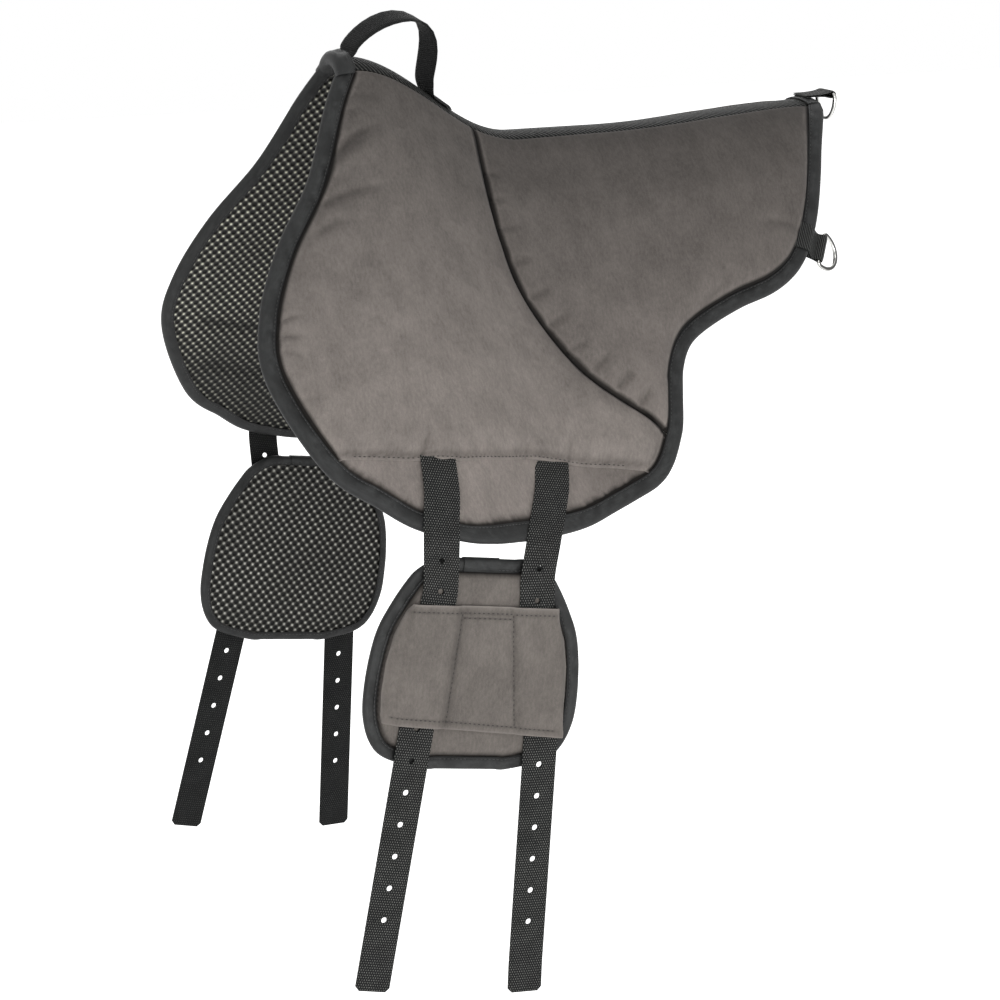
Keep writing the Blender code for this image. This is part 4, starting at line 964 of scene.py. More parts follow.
stitchKinds = {"rim": {"length": 0.0026, "width": 0.0006, "height": 0.0003, "pitch": 0.0036},
               "seam": {"length": 0.0025, "width": 0.0009, "height": 0.0004, "pitch": 0.0040}}


def alongLine(line, pitch):
    arcs = arcLength(line)
    count = max(int(arcs[-1] / pitch), 2)
    wanted = (np.arange(count) + 0.5) * arcs[-1] / count
    return np.stack([np.interp(wanted, arcs, line[:, k]) for k in range(line.shape[1])], 1)


def sew(name, line, lift, place, kind, finish, sign=1.0, **words):
    # stitches along a pattern line, which place() puts into the frame, with a lift that may change along it
    spots = alongLine(line, stitchKinds[kind]["pitch"])
    lifts = lift(spots) if callable(lift) else lift
    step = lineNormals(spots)
    here = place(spots, lifts)
    runs = unitRows(place(spots + np.stack([step[:, 1], -step[:, 0]], 1) * 0.001, lifts) - here)
    ups = (place(spots, lifts + 0.001) - here) * sign
    ups = unitRows(ups - runs * (ups * runs).sum(1)[:, None])
    return sewLine(name, here, runs, ups, finish, stitchKinds[kind], **words)


def makeRim(name, side):
    def place(points, lift):
        return onBack(points, lift, side)

    def onPanel(points):
        return coverTop + panelHeights(points, panels["front"])[0] + cloth["proud"]

    section = tapeSection(cloth["binding"], tapeTop, tapeUnder)
    binding = sweepTape(f"{name}_rim_tape", rim, rimNormals, place, section, 61)
    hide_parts(f"{name}_binding")
    bendOver(binding)
    groove, under = rim + rimNormals * tapeShape["groove"], rim + rimNormals * tapeShape["underGroove"]
    hem = lowerSeam[3:-5] - (0.0, 0.0028)
    for label, line, lift, kind, finish, slot in (
            ("rim_stitches", groove, tapeTop - cloth["proud"], "rim", blackThread, "binding_tape"),
            ("rim_under_stitches", under, tapeUnder - cloth["proud"], "rim", blackThread, "binding_tape"),
            ("seam_stitches", hem, onPanel, "seam", seamThread, "suede")):
        bendOver(sew(f"{name}_{label}", line, lift, place, kind, finish, slot=slot))


for sideName, sideSign in sides.items():
    makePanels(sideName, sideSign)
    makeSkirt(sideName, sideSign)
    makeLining(sideName, sideSign)
    makeRim(sideName, sideSign)
print("flaps made")


spine = {"stations": 190, "across": 25, "overhang": 0.012, "edgeSink": 0.35, "ruckles": 0.0003}
caps = {"pommel": {"half": 0.0225, "wider": 0.0018, "thicker": 0.0028, "rucks": 4.5, "stations": 81},
        "cantle": {"half": 0.0188, "wider": 0.0, "thicker": 0.0, "rucks": 2.0, "stations": 25}}


def acrossRidge(points, lift):
    # points as (along, sideways), laid over the ridge
    sideways = points[..., 1]
    return onBack(np.stack([points[..., 0], np.abs(sideways)], -1), lift, np.sign(sideways + 1e-12))


def makeStrip(name, low, high, finish, node, slot, ruckles=0.0):
    # a strip of cloth along the whole ridge
    half, count = cloth["webbingHalf"], spine["across"]
    start, end = rim[0, 0] - spine["overhang"], rim[-1, 0] + spine["overhang"]
    a, w = np.meshgrid(np.linspace(start, end, spine["stations"]), np.linspace(-half, half, count),
                       indexing="ij")
    grid = np.stack([a, w], -1)
    edgeSink = spine["edgeSink"] * (high - low) * (np.abs(w) / half) ** 10
    wave = ruckles * ripple(a.ravel(), 0.02, 71).reshape(a.shape) * (np.abs(w) / half) ** 2
    top, bottom = acrossRidge(grid, high - edgeSink + wave), acrossRidge(grid, low)
    piece = makeSheet(name, grid.reshape(-1, 2), gridFaces(len(a), count), bottom.reshape(-1, 3),
                      top.reshape(-1, 3), finish, slot=slot, body="spine")
    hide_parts(node)


def makeSpine():
    makeStrip("spine_webbing_strip", coverFloor, coverFloor + cloth["webbing"], spineTwill, "spine_webbing",
              "webbing", spine["ruckles"])
    makeStrip("gullet_mesh", 0.0, cloth["lining"], spacerMesh, "gullet_lining", "spacer_mesh")
    for (label, cap), way, ends in zip(caps.items(), (-1.0, 1.0), (rim[:60], rim[:-60:-1])):
        section = tapeSection(cloth["binding"] + cap["wider"], spineSlotTop + cloth["tape"] + cap["thicker"],
                              tapeUnder - cap["thicker"] * 0.8)
        widths = np.linspace(-cap["half"], cap["half"], cap["stations"])
        line = np.stack([np.interp(np.abs(widths), ends[:, 1], ends[:, 0]), widths], 1)
        normals = np.tile((way, 0.0), (len(widths), 1))
        binding = sweepTape(f"{label}_tape", line, normals, acrossRidge, section, 63, rucks=cap["rucks"],
                            body="spine")
        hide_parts(f"{label}_binding")


makeSpine()

# The handle's middle line: metres behind the pommel's edge and above the ridge there, and a turn in degrees
handle = {"width": 0.025, "thick": 0.0026,
          "path": ((0.0066, 0.0100, 12), (0.0080, 0.0142, 13), (0.0113, 0.0206, 15), (0.0185, 0.0278, 17),
                   (0.0276, 0.0341, 20), (0.0422, 0.0396, 23), (0.0558, 0.0408, 24), (0.0704, 0.0398, 20),
                   (0.0795, 0.0366, 8), (0.0850, 0.0315, -10), (0.0877, 0.0255, -24), (0.0868, 0.0180, -28),
                   (0.0816, 0.0090, -27), (0.0775, -0.0007, -22), (0.0755, -0.0116, -17),
                   (0.0764, -0.0215, -12)),
          "frontFoot": (-0.0080, -0.0040, 0.0010), "rearFoot": (0.0800, 0.0870, 0.0945), "perDegree": 0.0005}


def strapSection(width, thick, steps=9):
    # a flat strap's section as (across, up), rounded at both edges
    half, low = width / 2, thick / 2
    xs = np.linspace(-1, 1, steps)
    top = [(half * x, low * (1 - 0.75 * abs(x) ** 9)) for x in xs]
    return np.array(top + [(x, -y) for x, y in reversed(top)])


def ridgeTop(along, lift):
    return onBack(np.array([along, 0.0]), lift, 1.0)


def makeHandle():
    lift = coverFloor + cloth["webbing"] + cloth["gap"] + handle["thick"] / 2
    # each row is a place along the ridge, a point, a turn and whether the webbing is sewn flat there
    frontFoot, rearFoot = [[(along, *ridgeTop(along, lift), 0.0, 1.0) for along in handle[foot]]
                           for foot in ("frontFoot", "rearFoot")]
    free = [(x, x - back["length"] / 2, 0.0, back["pommelRise"] + z, turn * handle["perDegree"], 0.0)
            for x, z, turn in handle["path"]]
    path = smoothLine(np.array(frontFoot + free + rearFoot), 190)
    for _ in range(10):
        path[1:-1] = (path[:-2] + path[1:-1] * 2 + path[2:]) / 4
    middles, turns = path[:, 1:4], np.radians(path[:, 4] / handle["perDegree"])
    sewn = np.clip(path[:, 5], 0, 1)
    runs = unitRows(np.gradient(middles, axis=0))
    section = strapSection(handle["width"], handle["thick"], 11)
    rings = []
    for along, middle, run, turn, fixed in zip(path[:, 0], middles, runs, turns, sewn):
        across = Vector((0.0, 1.0, 0.0))
        spin = Matrix.Rotation(turn, 3, Vector(run))
        up = np.array(spin @ Vector(run).cross(across).normalized())
        loose = middle + np.outer(section[:, 0], np.array(spin @ across)) + np.outer(section[:, 1], up)
        flat = acrossRidge(np.stack([np.full(len(section), along), section[:, 0]], 1), lift + section[:, 1])
        rings.append(loose * (1 - fixed) + flat * fixed)
    arcs = arcLength(middles)
    piece = makeSweep("handle_loop", rings, gridMarks(section[None, :, 0], arcs[:, None]), handleTwill,
                      slot="webbing", body="spine")
    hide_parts("grab_handle")


makeHandle()
print("spine and handle made")

tab = {"width": 0.025, "thick": 0.0012, "reach": 0.0125, "tuck": 0.0110, "room": 0.0005, "sink": 0.0038,
       "rise": 0.0014, "ribs": (0.16, 0.0015), "crupperReach": 0.0160, "crupperLift": 0.0018}
# The rim point just above the rear corner, with its outward direction
tabSpot = {"point": (0.3855, 0.1432), "outward": (0.868, 0.497)}


def makeTab(name, bar, alongBar, out, up, reach, body, node, over=None):
    # a strap folded round a ring's bar; over is the height at which it lies on the binding
    radius = ringShape["wire"] + tab["room"] + tab["thick"] / 2
    stack = (tab["thick"] + cloth["gap"]) / 2
    band = [(-reach - tab["tuck"], stack), (-reach, stack), (-radius * 2, stack + (radius - stack) / 3)]
    band += [(radius * math.cos(math.radians(a)), radius * math.sin(math.radians(a)))
             for a in (110, 70, 35, 0, -35, -70, -110)]
    band += [(x, -y) for x, y in reversed(band[:3])]
    if over:
        band[:2] = [(-reach - cloth["binding"] - 0.0025, over - 0.0008),
                    (-reach - cloth["binding"] * 0.45, over), (-reach - 0.0012, over - 0.0010),
                    (-reach + 0.0022, over * 0.45)]
    flat = smoothLine(np.array(band), 230)
    middles = bar + out * flat[:, :1] + up * flat[:, 1:]
    ups = unitRows(np.cross(np.gradient(middles, axis=0), alongBar))
    arcs = arcLength(flat)
    ribs = 1 + tab["ribs"][0] * np.cos(2 * np.pi * arcs / tab["ribs"][1])
    section = strapSection(tab["width"], tab["thick"])
    rings = (middles[:, None] + alongBar * section[None, :, :1]
             + ups[:, None] * (section[None, :, 1:] * ribs[:, None, None]))
    piece = makeSweep(name, rings, gridMarks(section[None, :, 0], arcs[:, None]), tabRibs, slot="webbing",
                      body=body)
    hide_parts(node)


def makeRing(name, bar, alongBar, hang, body, node):
    corner = ringShape["halfWidth"] * ringShape["bar"]
    flat = [(x, 0.0) for x in np.linspace(-corner, corner, 7)]
    for k in range(25):
        angle = math.pi * k / 24
        flat.append((ringShape["halfWidth"] * math.cos(angle),
                     ringShape["shoulder"] + ringShape["depth"] * math.sin(angle)))
    line = smoothLine(np.array(flat), 120, closed=True)
    middles = bar + alongBar * line[:, :1] + hang * line[:, 1:]
    runs = unitRows(np.roll(middles, -1, 0) - np.roll(middles, 1, 0))
    side = np.cross(alongBar, hang)
    angles = np.arange(14) * 2 * np.pi / 14
    inward, beside = np.cross(runs, side)[:, None], np.sin(angles)[None, :, None] * side
    rings = middles[:, None] + ringShape["wire"] * (np.cos(angles)[None, :, None] * inward + beside)
    marks = gridMarks(np.linspace(0, 0.1, len(line))[:, None], angles[None] * ringShape["wire"])
    piece = makeSweep(name, rings, marks, chrome, closed=True, slot="chromed_steel", body=body)
    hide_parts(node)


def hangFrom(alongBar):
    down = np.array([0.0, 0.0, -1.0])
    return unit(down - alongBar * alongBar.dot(down))


def makeRearTab(name, side):
    spot, normal, lift = np.array(tabSpot["point"]), unit(np.array(tabSpot["outward"])), -tab["sink"]
    edge, far = spot + normal * cloth["binding"], spot + normal * (cloth["binding"] + tab["reach"])
    nearEnd, bar = onBack(edge, lift, side), onBack(far, lift, side)
    out = unit(bar - nearEnd)
    up = unit(onBack(far, lift + 0.001, side) - bar)
    up = unit(up - out * up.dot(out))
    alongBar = unit(np.cross(up, out))
    makeTab(f"{name}_corner_tab", bar, alongBar, out, up, tab["reach"], f"{name}_flap", f"{name}_rear_tab",
            tapeTop + tab["rise"] + tab["sink"])
    down = hangFrom(alongBar)
    beside = unit(out - down * out.dot(down))
    swing = math.radians(ringShape["swing"])
    makeRing(f"{name}_corner_ring", bar, alongBar, down * math.cos(swing) + beside * math.sin(swing),
             f"{name}_ring_link", f"{name}_ring")


def makeCrupper():
    lift = spineSlotTop + cloth["tape"] + tab["crupperLift"]
    end = rim[-1, 0]
    edge, start = ridgeTop(end + cloth["binding"], lift), ridgeTop(end, lift)
    out = unit(edge - start)
    bar = edge + out * tab["crupperReach"]
    across = np.array([0.0, 1.0, 0.0])
    up = unit(np.cross(out, across))
    up = up if up[2] > 0 else -up
    makeTab("crupper_strap_tab", bar, across, out, up, tab["crupperReach"], "spine", "crupper_tab")
    makeRing("crupper_d_ring", bar, across, hangFrom(across), "crupper_ring_link", "crupper_ring")


for sideName, sideSign in sides.items():
    makeRearTab(sideName, sideSign)
makeCrupper()
print("tabs and rings made")

billet = {"width": 0.030, "thick": 0.0018, "pitch": 0.0270, "hole": 0.0026, "holes": 12, "tip": 0.061,
          "lift": 0.0022, "spacing": 0.0024, "cut": 0.0035, "edgeStep": 0.0035, "endStep": 0.003, "tail": 60}
# How the billets hang, in metres and degrees, and by how much the off side differs
hang = {"back": -0.02144, "out": 0.01979, "down": 0.12521, "toe": 3.5, "flare": 2.5,
        "joins": (-0.071, -0.056, -0.038), "offBack": 0.005, "offDown": 0.003, "offLonger": 0.004,
        "bendAt": (-0.050, 0.055, 0.260), "bend": (0.0, 0.0083, 0.0027),
        "aboveSwing": (-0.2208, 0.1841, -0.2287), "belowSwing": (-0.2242, 0.1841, -0.2475)}
# "level" is how far a strap lies level across its top, and "raised" how much higher its first two holes are
billets = {"front": {"shares": ((0.018, 0.852), (0.010, 0.930), (-0.002, 0.992), (-0.009, 1.032)),
                     "offset": -0.0450, "lean": -11.4, "firstHole": -0.088, "raised": 0.0064, "level": 0.2,
                     "offLean": -14.2, "offShift": 0.020, "offHole": -0.005},
           "rear": {"shares": ((0.250, 0.762), (0.236, 0.825), (0.218, 0.884), (0.192, 0.965)),
                    "offset": 0.0495, "lean": -3.3, "firstHole": -0.0735, "raised": 0.0034, "level": 0.85,
                    "offLean": -1.4, "offShift": 0.0, "offHole": -0.003}}


def hangFrame(side):
    toe, flare = math.radians(hang["toe"]), math.radians(hang["flare"])
    rearward = np.array([math.cos(toe), side * math.sin(toe), 0.0])
    levelOut = np.array([-math.sin(toe), side * math.cos(toe), 0.0])
    down = np.array([0.0, 0.0, -1.0]) * math.cos(flare) + levelOut * math.sin(flare)
    outwards = levelOut * math.cos(flare) + np.array([0.0, 0.0, 1.0]) * math.sin(flare)
    between = (np.array(billets["front"]["shares"][2]) + np.array(billets["rear"]["shares"][2])) / 2 * scale
    off = max(side, 0)
    middle = onBack(between, 0.0, side) + np.array([hang["back"] + off * hang["offBack"], side * hang["out"],
                                                    -hang["down"] - off * hang["offDown"]])
    return middle, rearward, down, outwards


def rearBend(level, side):
    # the near rear billet turns a little inside its sleeve
    return np.interp(level, hang["bendAt"], hang["bend"]) * (side < 0)


def leanOf(one, side):
    return one["lean"] if side < 0 else one["offLean"]


def billetFrames(side, one):
    middle, rearward, down, outwards = hangFrame(side)
    angle, off = math.radians(leanOf(one, side)), max(side, 0)
    base = middle + rearward * one["offset"]
    run = unit(down * math.cos(angle) + rearward * math.sin(angle))
    half = billet["thick"] / 2
    floor = slotTop + half + cloth["gap"] * 2
    top = slotTop + cloth["tape"] + billet["lift"] + half
    points = np.array(one["shares"]) * scale
    points[:, 0] += off * back["length"] * one["offShift"] * np.array((0.3, 0.8, 1.0, 1.0))
    acrossHanging = np.cross(run, outwards) * side
    rows = []
    for k, (p, lift) in enumerate(zip(points, (floor - 0.0008, floor + billet["lift"], top, top))):
        after, before = points[min(k + 1, 3)], points[max(k - 1, 0)]
        way = unit(after - before)
        square = np.array([way[1], -way[0]]) * (billet["width"] / 2)
        ends = [onBack(p + square * w, lift, side) for w in (-1.0, 1.0)]
        onCloth = (ends[1] - ends[0]) / billet["width"]
        rows.append((onBack(p, lift, side), unit(onCloth * (1 - one["level"]) + acrossHanging * one["level"]),
                     unit(onBack(p, lift + 0.001, side) - onBack(p, lift, side))))
    for level in hang["joins"]:
        rows.append((base + run * level + outwards * half, acrossHanging, outwards))
    controls = np.array([np.concatenate(r) for r in rows])
    line = smoothLine(controls[:, :3], 140)
    arcs = arcLength(line)
    knots = np.array([arcs[((line - c[:3]) ** 2).sum(1).argmin()] for c in controls])
    acrosses, ups = along(knots, controls[:, 3:6], arcs), along(knots, controls[:, 6:], arcs)
    levelEnd = (line[-1] - base).dot(run)
    start = arcs[-1] - levelEnd + one["firstHole"] - billet["pitch"] / 2 + off * one["offHole"]
    length = start + billet["pitch"] * (billet["holes"] - 0.5) + billet["tip"] + off * hang["offLonger"]
    tail = np.linspace(0.004, length - arcs[-1] + 0.01, billet["tail"])
    bend = rearBend(levelEnd + tail, side) * (one is billets["rear"])
    return (np.concatenate([arcs, arcs[-1] + tail]),
            np.concatenate([line, line[-1] + run * tail[:, None] + acrossHanging * bend[:, None]]),
            np.concatenate([acrosses, np.tile(acrosses[-1], (billet["tail"], 1))]),
            np.concatenate([ups, np.tile(ups[-1], (billet["tail"], 1))]), start, length)


def along(knots, rows, wanted):
    # rows of vectors read off between their knots
    return np.stack([np.interp(wanted, knots, column) for column in rows.T], 1)


def billetLoop(length):
    # a strap's outline, with both corners of its tip cut off
    half, cut = billet["width"] / 2, billet["cut"]
    down = np.arange(0.0, length - cut, billet["edgeStep"])
    tipEnd, topEnd = half - cut - billet["endStep"], half - billet["endStep"]
    return np.array([(-half, y) for y in down] + [(-half, length - cut), (-half + cut, length)]
                    + [(x, length) for x in np.linspace(-tipEnd, tipEnd, 6)]
                    + [(half - cut, length), (half, length - cut)] + [(half, y) for y in down[::-1]]
                    + [(x, 0.0) for x in np.linspace(topEnd, -topEnd, 8)])


def makeBillet(name, side, label):
    arcs, line, acrosses, ups, start, length = billetFrames(side, billets[label])
    angles = np.arange(18) * 2 * np.pi / 18
    ring = billet["hole"] * np.stack([np.cos(angles), np.sin(angles)], 1)
    raised = billets[label]["raised"] if side < 0 else 0.0
    centres = [(0.0, start + billet["pitch"] * (k + 0.5) - raised * (k < 2)) for k in range(billet["holes"])]
    points, faces = cutCloth(billetLoop(length), billet["spacing"], [ring + centre for centre in centres])
    down = points[:, 1]
    up = unitRows(along(arcs, ups, down))
    middle = along(arcs, line, down) + along(arcs, acrosses, down) * points[:, :1]
    flat = 1 - 0.55 * (np.abs(points[:, 0]) / (billet["width"] / 2)) ** 8
    nearHole = np.min([np.hypot(*(points - centre).T) for centre in centres], 0)
    puff = 1 + 0.35 * bell(nearHole - billet["hole"] - 0.0004, 0.0007)
    thick = (billet["thick"] / 2 * flat * puff)[:, None]
    piece = makeSheet(f"{name}_{label}_strap", points, faces, middle - up * thick, middle + up * thick,
                      billetWeave, slot="webbing")
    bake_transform(piece)
    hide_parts(f"{name}_{label}_billet")


for sideName, sideSign in sides.items():
    for which in ("front", "rear"):
        makeBillet(sideName, sideSign, which)
print("billets made")

guard = {"height": 0.1765, "halfWidth": 0.0938, "endShare": 0.44, "binding": 0.0115, "tuck": 0.006,
         "foam": 0.0050, "mesh": 0.0025, "spacing": 0.0026, "underSeam": 0.0054,
         "join": (-0.020, 0.012), "joinRow": 0.45, "joinWider": 0.0008, "joinTape": 1.9, "roll": 0.016,
         "hills": (0.0004, 0.025, 9), "puckers": (81, 0.009, 0.0005, 0.009), "fullBody": 0.6,
         "pressed": 0.0004, "darkRim": 0.0024, "sag": (0.0012, 0.020), "fill": 0.4,
         "rows": ((0.0, 0.44), (0.05, 0.61), (0.11, 0.70), (0.22, 0.82), (0.345, 0.925), (0.495, 0.98),
                  (0.66, 1.0), (0.785, 0.985), (0.895, 0.91), (0.955, 0.78), (1.0, 0.44))}
# The sleeve's places are metres from the guard's middle; "slant" tilts its bottom hem. An upright's numbers
# move its top and its bottom rearward and lift its bottom
sleeve = {"top": -0.0505, "height": 0.107, "slant": (-0.0024, 0.0044), "bareRoom": 0.0022, "wall": 0.0018,
          "edgeInset": 0.0018, "topRow": 0.0062, "secondRow": 0.0105, "lowRow": 0.0060, "rowInset": 0.004,
          "beside": 0.006, "raise": 0.0002, "rows": 62, "columns": 90, "loose": 0.0004,
          "hills": (0.0004, 0.018, 14), "edgeLift": 0.0012, "edgeRoll": 0.012, "topHem": (0.0016, 0.0020),
          "lowHem": (0.0020, 0.0026), "hemBulk": 0.0005, "sewnSink": (0.0004, 0.0016),
          "paintedEdges": 0.0014, "lowHemHighlight": 0.7, "sideHighlight": 0.6, "sewnDark": (0.30, 0.0011),
          "besideDark": (0.20, 0.001, 0.005), "besideTo": 0.03,
          "frontUpright": (0.0, 0.0023, 0.0080), "rearUpright": (0.0030, -0.0015, 0.0062)}
innerHeight = guard["height"] - 2 * guard["binding"]
innerHalf = guard["halfWidth"] - guard["binding"]
guardFloor = guard["mesh"] + cloth["gap"]
faceTop = guard["mesh"] + cloth["gap"] * 2 + guard["foam"] + cloth["cover"]
sleeveFloor = faceTop + cloth["gap"]
guardTapeTop = guardFloor + cloth["cover"] + cloth["gap"] + cloth["tape"]


def guardPlace(side):
    middle, rearward, down, outwards = hangFrame(side)
    lean = math.radians((leanOf(billets["front"], side) + leanOf(billets["rear"], side)) / 2)
    run = down * math.cos(lean) + rearward * math.sin(lean)
    across = rearward * math.cos(lean) - down * math.sin(lean)
    base = middle - outwards * (faceTop + cloth["gap"])

    def place(points, lift):
        lift = np.asarray(lift, float)
        return base + points[..., :1] * across + points[..., 1:2] * run + lift[..., None] * outwards
    return place


def guardRim():
    left = [(-innerHalf * w, innerHeight * (v - 0.5)) for v, w in guard["rows"]]
    low = [(innerHalf * guard["endShare"] * x, innerHeight / 2) for x in (-0.72, -0.36, 0.0, 0.36, 0.72)]
    half = left + low
    return smoothLine(np.array(half + [(-x, y) for x, y in reversed(left)]
                               + [(-x, -innerHeight / 2) for x, _ in low]), 260, closed=True)


def halfAt(y):
    v = y / innerHeight + 0.5
    return innerHalf * np.interp(v, *np.array(guard["rows"]).T)


guardLoop = guardRim()
guardNormals = lineNormals(guardLoop, closed=True)
if (guardNormals[0] * guardLoop[0]).sum() < 0:
    guardNormals = -guardNormals
guardEdge = guardLoop + guardNormals * guard["tuck"]
guardCut = cutCloth(trimmed(guardEdge, panel["loopStep"]), guard["spacing"])


def guardGap(points):
    loop = np.concatenate([guardLoop, guardLoop[:1]])
    distance, arc = edgeField(points, loop)
    return np.where(insideOf(points, guardLoop), np.abs(distance), -np.abs(distance)), arc


def makeGuard(name, side):
    place, body = guardPlace(side), f"{name}_guard"
    points, faces = guardCut
    inside, arc = guardGap(points)
    bulge = rounded(np.maximum(inside, 0), guard["roll"])
    soft = hillsOf(points, *guard["hills"]) + puckersOf(inside, arc, *guard["puckers"])
    rise = guard["foam"] * bulge + soft * ease(bulge, 0, guard["fullBody"]) - guard["pressed"]
    rise = np.maximum(rise, 0)
    # painted shade along the guard's binding
    shade = bell(np.maximum(inside, 0), guard["darkRim"])
    pad = makeSheet(f"{name}_guard_pad", points, faces, place(points, guardFloor),
                    place(points, guardFloor + cloth["cover"] + rise), guardSuede,
                    {"edge": np.zeros(len(points)), "shade": shade}, slot="suede", body=body)
    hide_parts(f"{name}_guard_face", f"{name}_guard_foam")
    sag = guard["sag"][0] * rounded(np.maximum(inside, 0), guard["sag"][1])
    backing = makeSheet(f"{name}_guard_backing", points, faces, place(points, -sag),
                        place(points, guard["mesh"]), spacerMesh, slot="spacer_mesh", body=body)
    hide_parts(f"{name}_guard_mesh")
    sheetOf(guardEdge)
    joined = np.flatnonzero((guardLoop[:, 1] < -innerHeight * guard["joinRow"])
                            & (guardLoop[:, 0] > guard["join"][0]) & (guardLoop[:, 0] < guard["join"][1]))
    joined = joined[np.argsort(guardLoop[joined, 0])]
    around = np.roll(np.arange(len(guardLoop)), -240)
    more = cloth["tape"] * (guard["joinTape"] - 1)
    for label, spots, wider, thicker, seed in (("rim_tape", around, 0.0, 0.0, 65),
                                               ("tape_join", joined, guard["joinWider"], more, 67)):
        section = tapeSection(guard["binding"] + wider, guardTapeTop + thicker, tapeUnder - thicker)
        binding = sweepTape(f"{name}_guard_{label}", guardLoop[spots], guardNormals[spots], place, section,
                            seed, label == "rim_tape", body=body)
        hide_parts(f"{name}_guard_binding")
    loop, normals = (np.concatenate([rows, rows[:1]]) for rows in (guardLoop, guardNormals))
    for label, lift, out, sign in (("face", guardTapeTop - 2 * cloth["proud"], tapeShape["groove"], 1.0),
                                   ("under", tapeUnder - cloth["proud"], guard["underSeam"], -1.0)):
        sew(f"{name}_guard_{label}_stitches", loop + normals * out, lift, place, "rim", blackThread, sign,
            body=body, slot="binding_tape")
    makeSleeve(name, side, place, body)


def tunnelsAt(y, side):
    spread = math.tan(math.radians((leanOf(billets["rear"], side) - leanOf(billets["front"], side)) / 2)) * y
    return billets["front"]["offset"] - spread, billets["rear"]["offset"] + spread + rearBend(y, side)


def makeSleeve(name, side, place, body):
    high, low = sleeve["top"], sleeve["top"] + sleeve["height"]
    half = billet["width"] / 2 + sleeve["bareRoom"]
    raised = billet["thick"] + cloth["gap"] * 2 + sleeve["raise"]

    def edgesAt(y):
        frontAt, rearAt = tunnelsAt(y, side)
        edge, reach = halfAt(y) - sleeve["edgeInset"], half + sleeve["wall"]
        return np.minimum(-edge, frontAt - reach), np.maximum(edge, rearAt + reach), frontAt, rearAt

    def lowAt(share):
        return low + sleeve["slant"][0] + sleeve["slant"][1] * share

    # the H of stitching: two rows at the top, one at the bottom, and an upright beside each billet
    frontTop, rearTop = tunnelsAt(high, side)
    frontLow, rearLow = tunnelsAt(low, side)
    inner, topRow = half + sleeve["beside"], high + sleeve["topRow"]
    wide, lowWide = float(halfAt(topRow)) - sleeve["rowInset"], float(halfAt(low)) - sleeve["rowInset"]
    uprights = [((topX + moved[0], topRow), (lowX + moved[1], low - moved[2]))
                for topX, lowX, moved in (
                    (frontTop + inner, frontLow + inner, sleeve["frontUpright"]),
                    (rearTop - inner, rearLow - inner, sleeve["rearUpright"]))]
    lines = [((-wide, topRow), (wide, topRow)),
             ((-lowWide, lowAt(-1) - sleeve["lowRow"]), (lowWide, lowAt(1) - sleeve["lowRow"]))] + uprights
    lines.append([(top[0], high + sleeve["secondRow"]) for top, _ in uprights])
    lines = [np.linspace(a, b, 50) for a, b in lines]

    def liftOf(points):
        x, y = points[:, 0], points[:, 1]
        left, right, frontAt, rearAt = edgesAt(y)
        over = 1 - ease(np.minimum(np.abs(x - frontAt), np.abs(x - rearAt)), half, half + sleeve["beside"])
        lift = sleeveFloor + sleeve["loose"] + raised * over + hillsOf(points, *sleeve["hills"])
        fromEdge = np.clip(np.minimum(x - left, right - x), 0, 1)
        fall = guard["foam"] - sleeve["edgeLift"]
        lift -= (1 - over) * fall * (1 - rounded(fromEdge, sleeve["edgeRoll"]))
        sewn = np.min([np.abs(edgeField(points, line)[0]) for line in lines], 0)
        (topIn, topWidth), (lowIn, lowWidth) = sleeve["topHem"], sleeve["lowHem"]
        deep, width = sleeve["sewnSink"]
        bulk = bell(y - high - topIn, topWidth) + bell(y - low + lowIn, lowWidth)
        return lift - deep * bell(sewn, width) + sleeve["hemBulk"] * bulk, fromEdge, sewn

    v, share = np.meshgrid(np.linspace(0, 1, sleeve["rows"]), np.linspace(-1, 1, sleeve["columns"]),
                           indexing="ij")
    y = high + (lowAt(share) - high) * v
    left, right = edgesAt(y)[:2]
    grid = np.stack([left + (right - left) * (share + 1) / 2, y], -1)
    points = grid.reshape(-1, 2)
    lift, fromEdge, sewn = liftOf(points)
    toLow = ((1 - v) * (low - high)).ravel()
    # painted highlights along the top hem, the low hem and the sides
    hem = bell(points[:, 1] - high, sleeve["paintedEdges"]) + sleeve["lowHemHighlight"] * bell(toLow, sleeve["paintedEdges"])
    hem += sleeve["sideHighlight"] * bell(fromEdge, sleeve["paintedEdges"])
    top, bottom = uprights[0]
    beside = np.abs(edgeField(points, np.array([top, bottom]))[0])
    (dark, width), (besideDark, middleAt, reach) = sleeve["sewnDark"], sleeve["besideDark"]
    # painted shade along the stitching, and a painted shadow beside the front tunnel
    shade = dark * bell(sewn, width)
    shade += besideDark * bell(beside - middleAt, reach) * (points[:, 0] < bottom[0] + sleeve["besideTo"])
    piece = makeSheet(f"{name}_sleeve", points, gridFaces(*v.shape), place(points, lift),
                      place(points, lift + cloth["cover"]), guardSuede, {"edge": hem, "shade": shade},
                      slot="suede", body=body)
    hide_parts(f"{name}_guard_sleeve")
    edge = np.concatenate([grid[0], grid[1:, -1], grid[-1, -2::-1], grid[-2:0:-1, 0]])
    sheetOf(edge)

    def onSleeve(points):
        return liftOf(points)[0] + cloth["cover"] + cloth["proud"]

    for k, line in enumerate(lines):
        sew(f"{name}_sleeve_stitches_{k}", line, onSleeve, place, "seam", seamThread, body=body, slot="suede")


for sideName, sideSign in sides.items():
    makeGuard(sideName, sideSign)
print("guards made")

studio = {"floor": -0.90, "size": 14.0, "ambient": 0.40, "glow": 1.0, "aim": (0.0, 0.0, -0.25)}
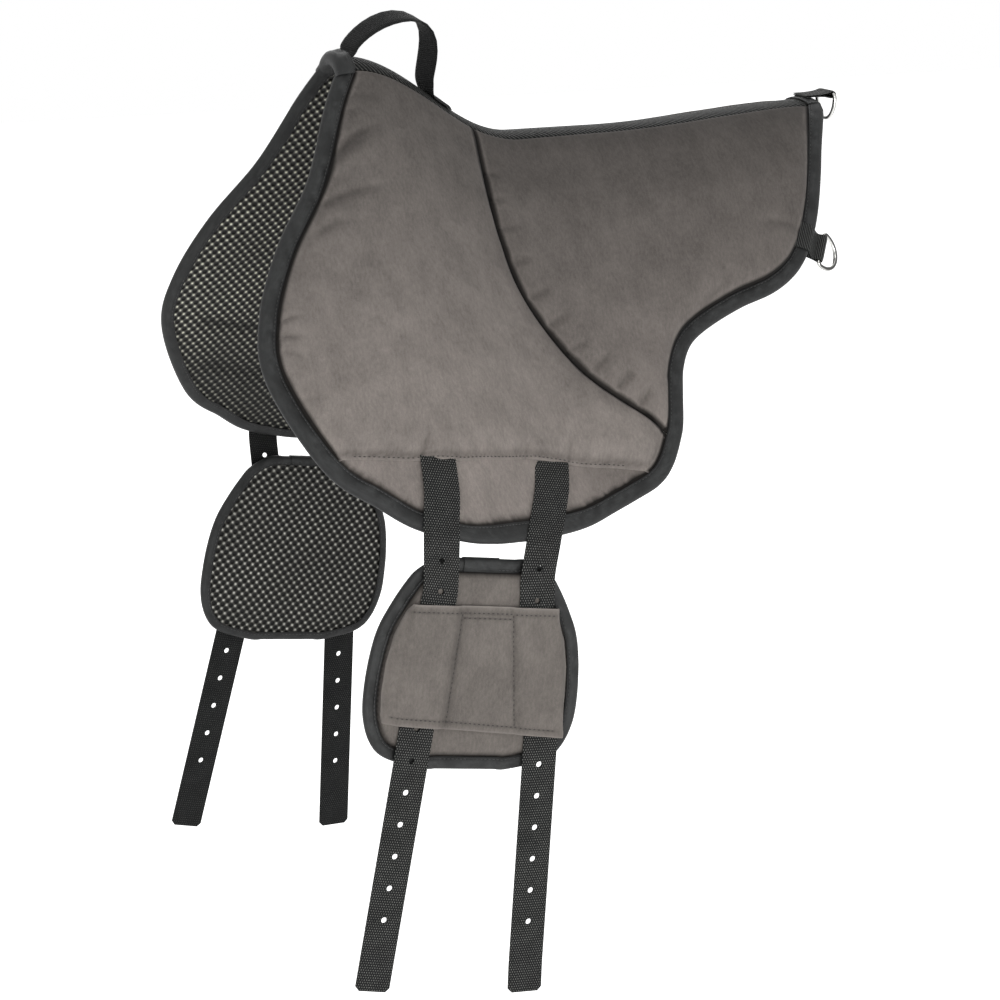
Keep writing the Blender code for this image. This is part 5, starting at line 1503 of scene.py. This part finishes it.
# Soft lights as a place, a power and a size
softLights = {"keyLight": ((-0.45, -2.0, -0.35), 18.0, 1.0), "highLight": ((-1.6, -2.0, 1.8), 16.0, 1.6),
              "fillLight": ((2.4, -1.6, 0.6), 9.0, 2.0), "rearLight": ((0.6, 2.4, 1.2), 26.0, 2.2)}


def makeFloor():
    # pale, and as bright as the backdrop to the camera and in reflections
    f = Finish("paleFloor", Roughness=0.9)
    pale = f.mix(f.node("TexNoise", Scale=3.0), (0.90, 0.90, 0.90), (0.94, 0.94, 0.94))
    seen, mirrored = (f.node("LightPath", None, label) for label in ("Is Camera Ray", "Is Glossy Ray"))
    glow = seen.maths("MAXIMUM", mirrored) * studio["glow"]
    f.feed(Base_Color=pale, Emission_Color=pale, Emission_Strength=glow)
    half, low = studio["size"] / 2, studio["floor"]
    mesh = bpy.data.meshes.new("studioFloor")
    corners = [(x * half, y * half, low) for x, y in ((-1, -1), (1, -1), (1, 1), (-1, 1))]
    mesh.from_pydata(corners, [], [(0, 1, 2, 3)])
    floor = bpy.data.objects.new("studioFloor", mesh)
    floor.data.materials.append(f.material)
    bpy.context.scene.collection.objects.link(floor)


def makeWorld():
    # white where it is seen, dimmer as light
    world = bpy.data.worlds.new("studioWorld")
    bpy.context.scene.world = world
    world.use_nodes = True
    tree = world.node_tree
    backdrop = tree.nodes["Background"]
    path = tree.nodes.new("ShaderNodeLightPath")
    seen, mirrored, through = (Socket(tree, path.outputs[label])
                               for label in ("Is Camera Ray", "Is Glossy Ray", "Is Transmission Ray"))
    white = seen.maths("MAXIMUM", mirrored).maths("MAXIMUM", through)
    strength = white * (1 - studio["ambient"]) + studio["ambient"]
    tree.links.new(strength.socket, backdrop.inputs["Strength"])
    backdrop.inputs["Color"].default_value = (1.0, 1.0, 1.0, 1.0)


def makeLights():
    for label, (place, power, size) in softLights.items():
        data = bpy.data.lights.new(label, "AREA")
        data.energy, data.size = power, size
        light = bpy.data.objects.new(label, data)
        bpy.context.scene.collection.objects.link(light)
        light.location = place
        light.rotation_euler = (Vector(studio["aim"]) - Vector(place)).to_track_quat("-Z", "Y").to_euler()


makeFloor()
makeWorld()
makeLights()
bpy.context.scene.view_settings.view_transform = "Standard"
print("studio lit")
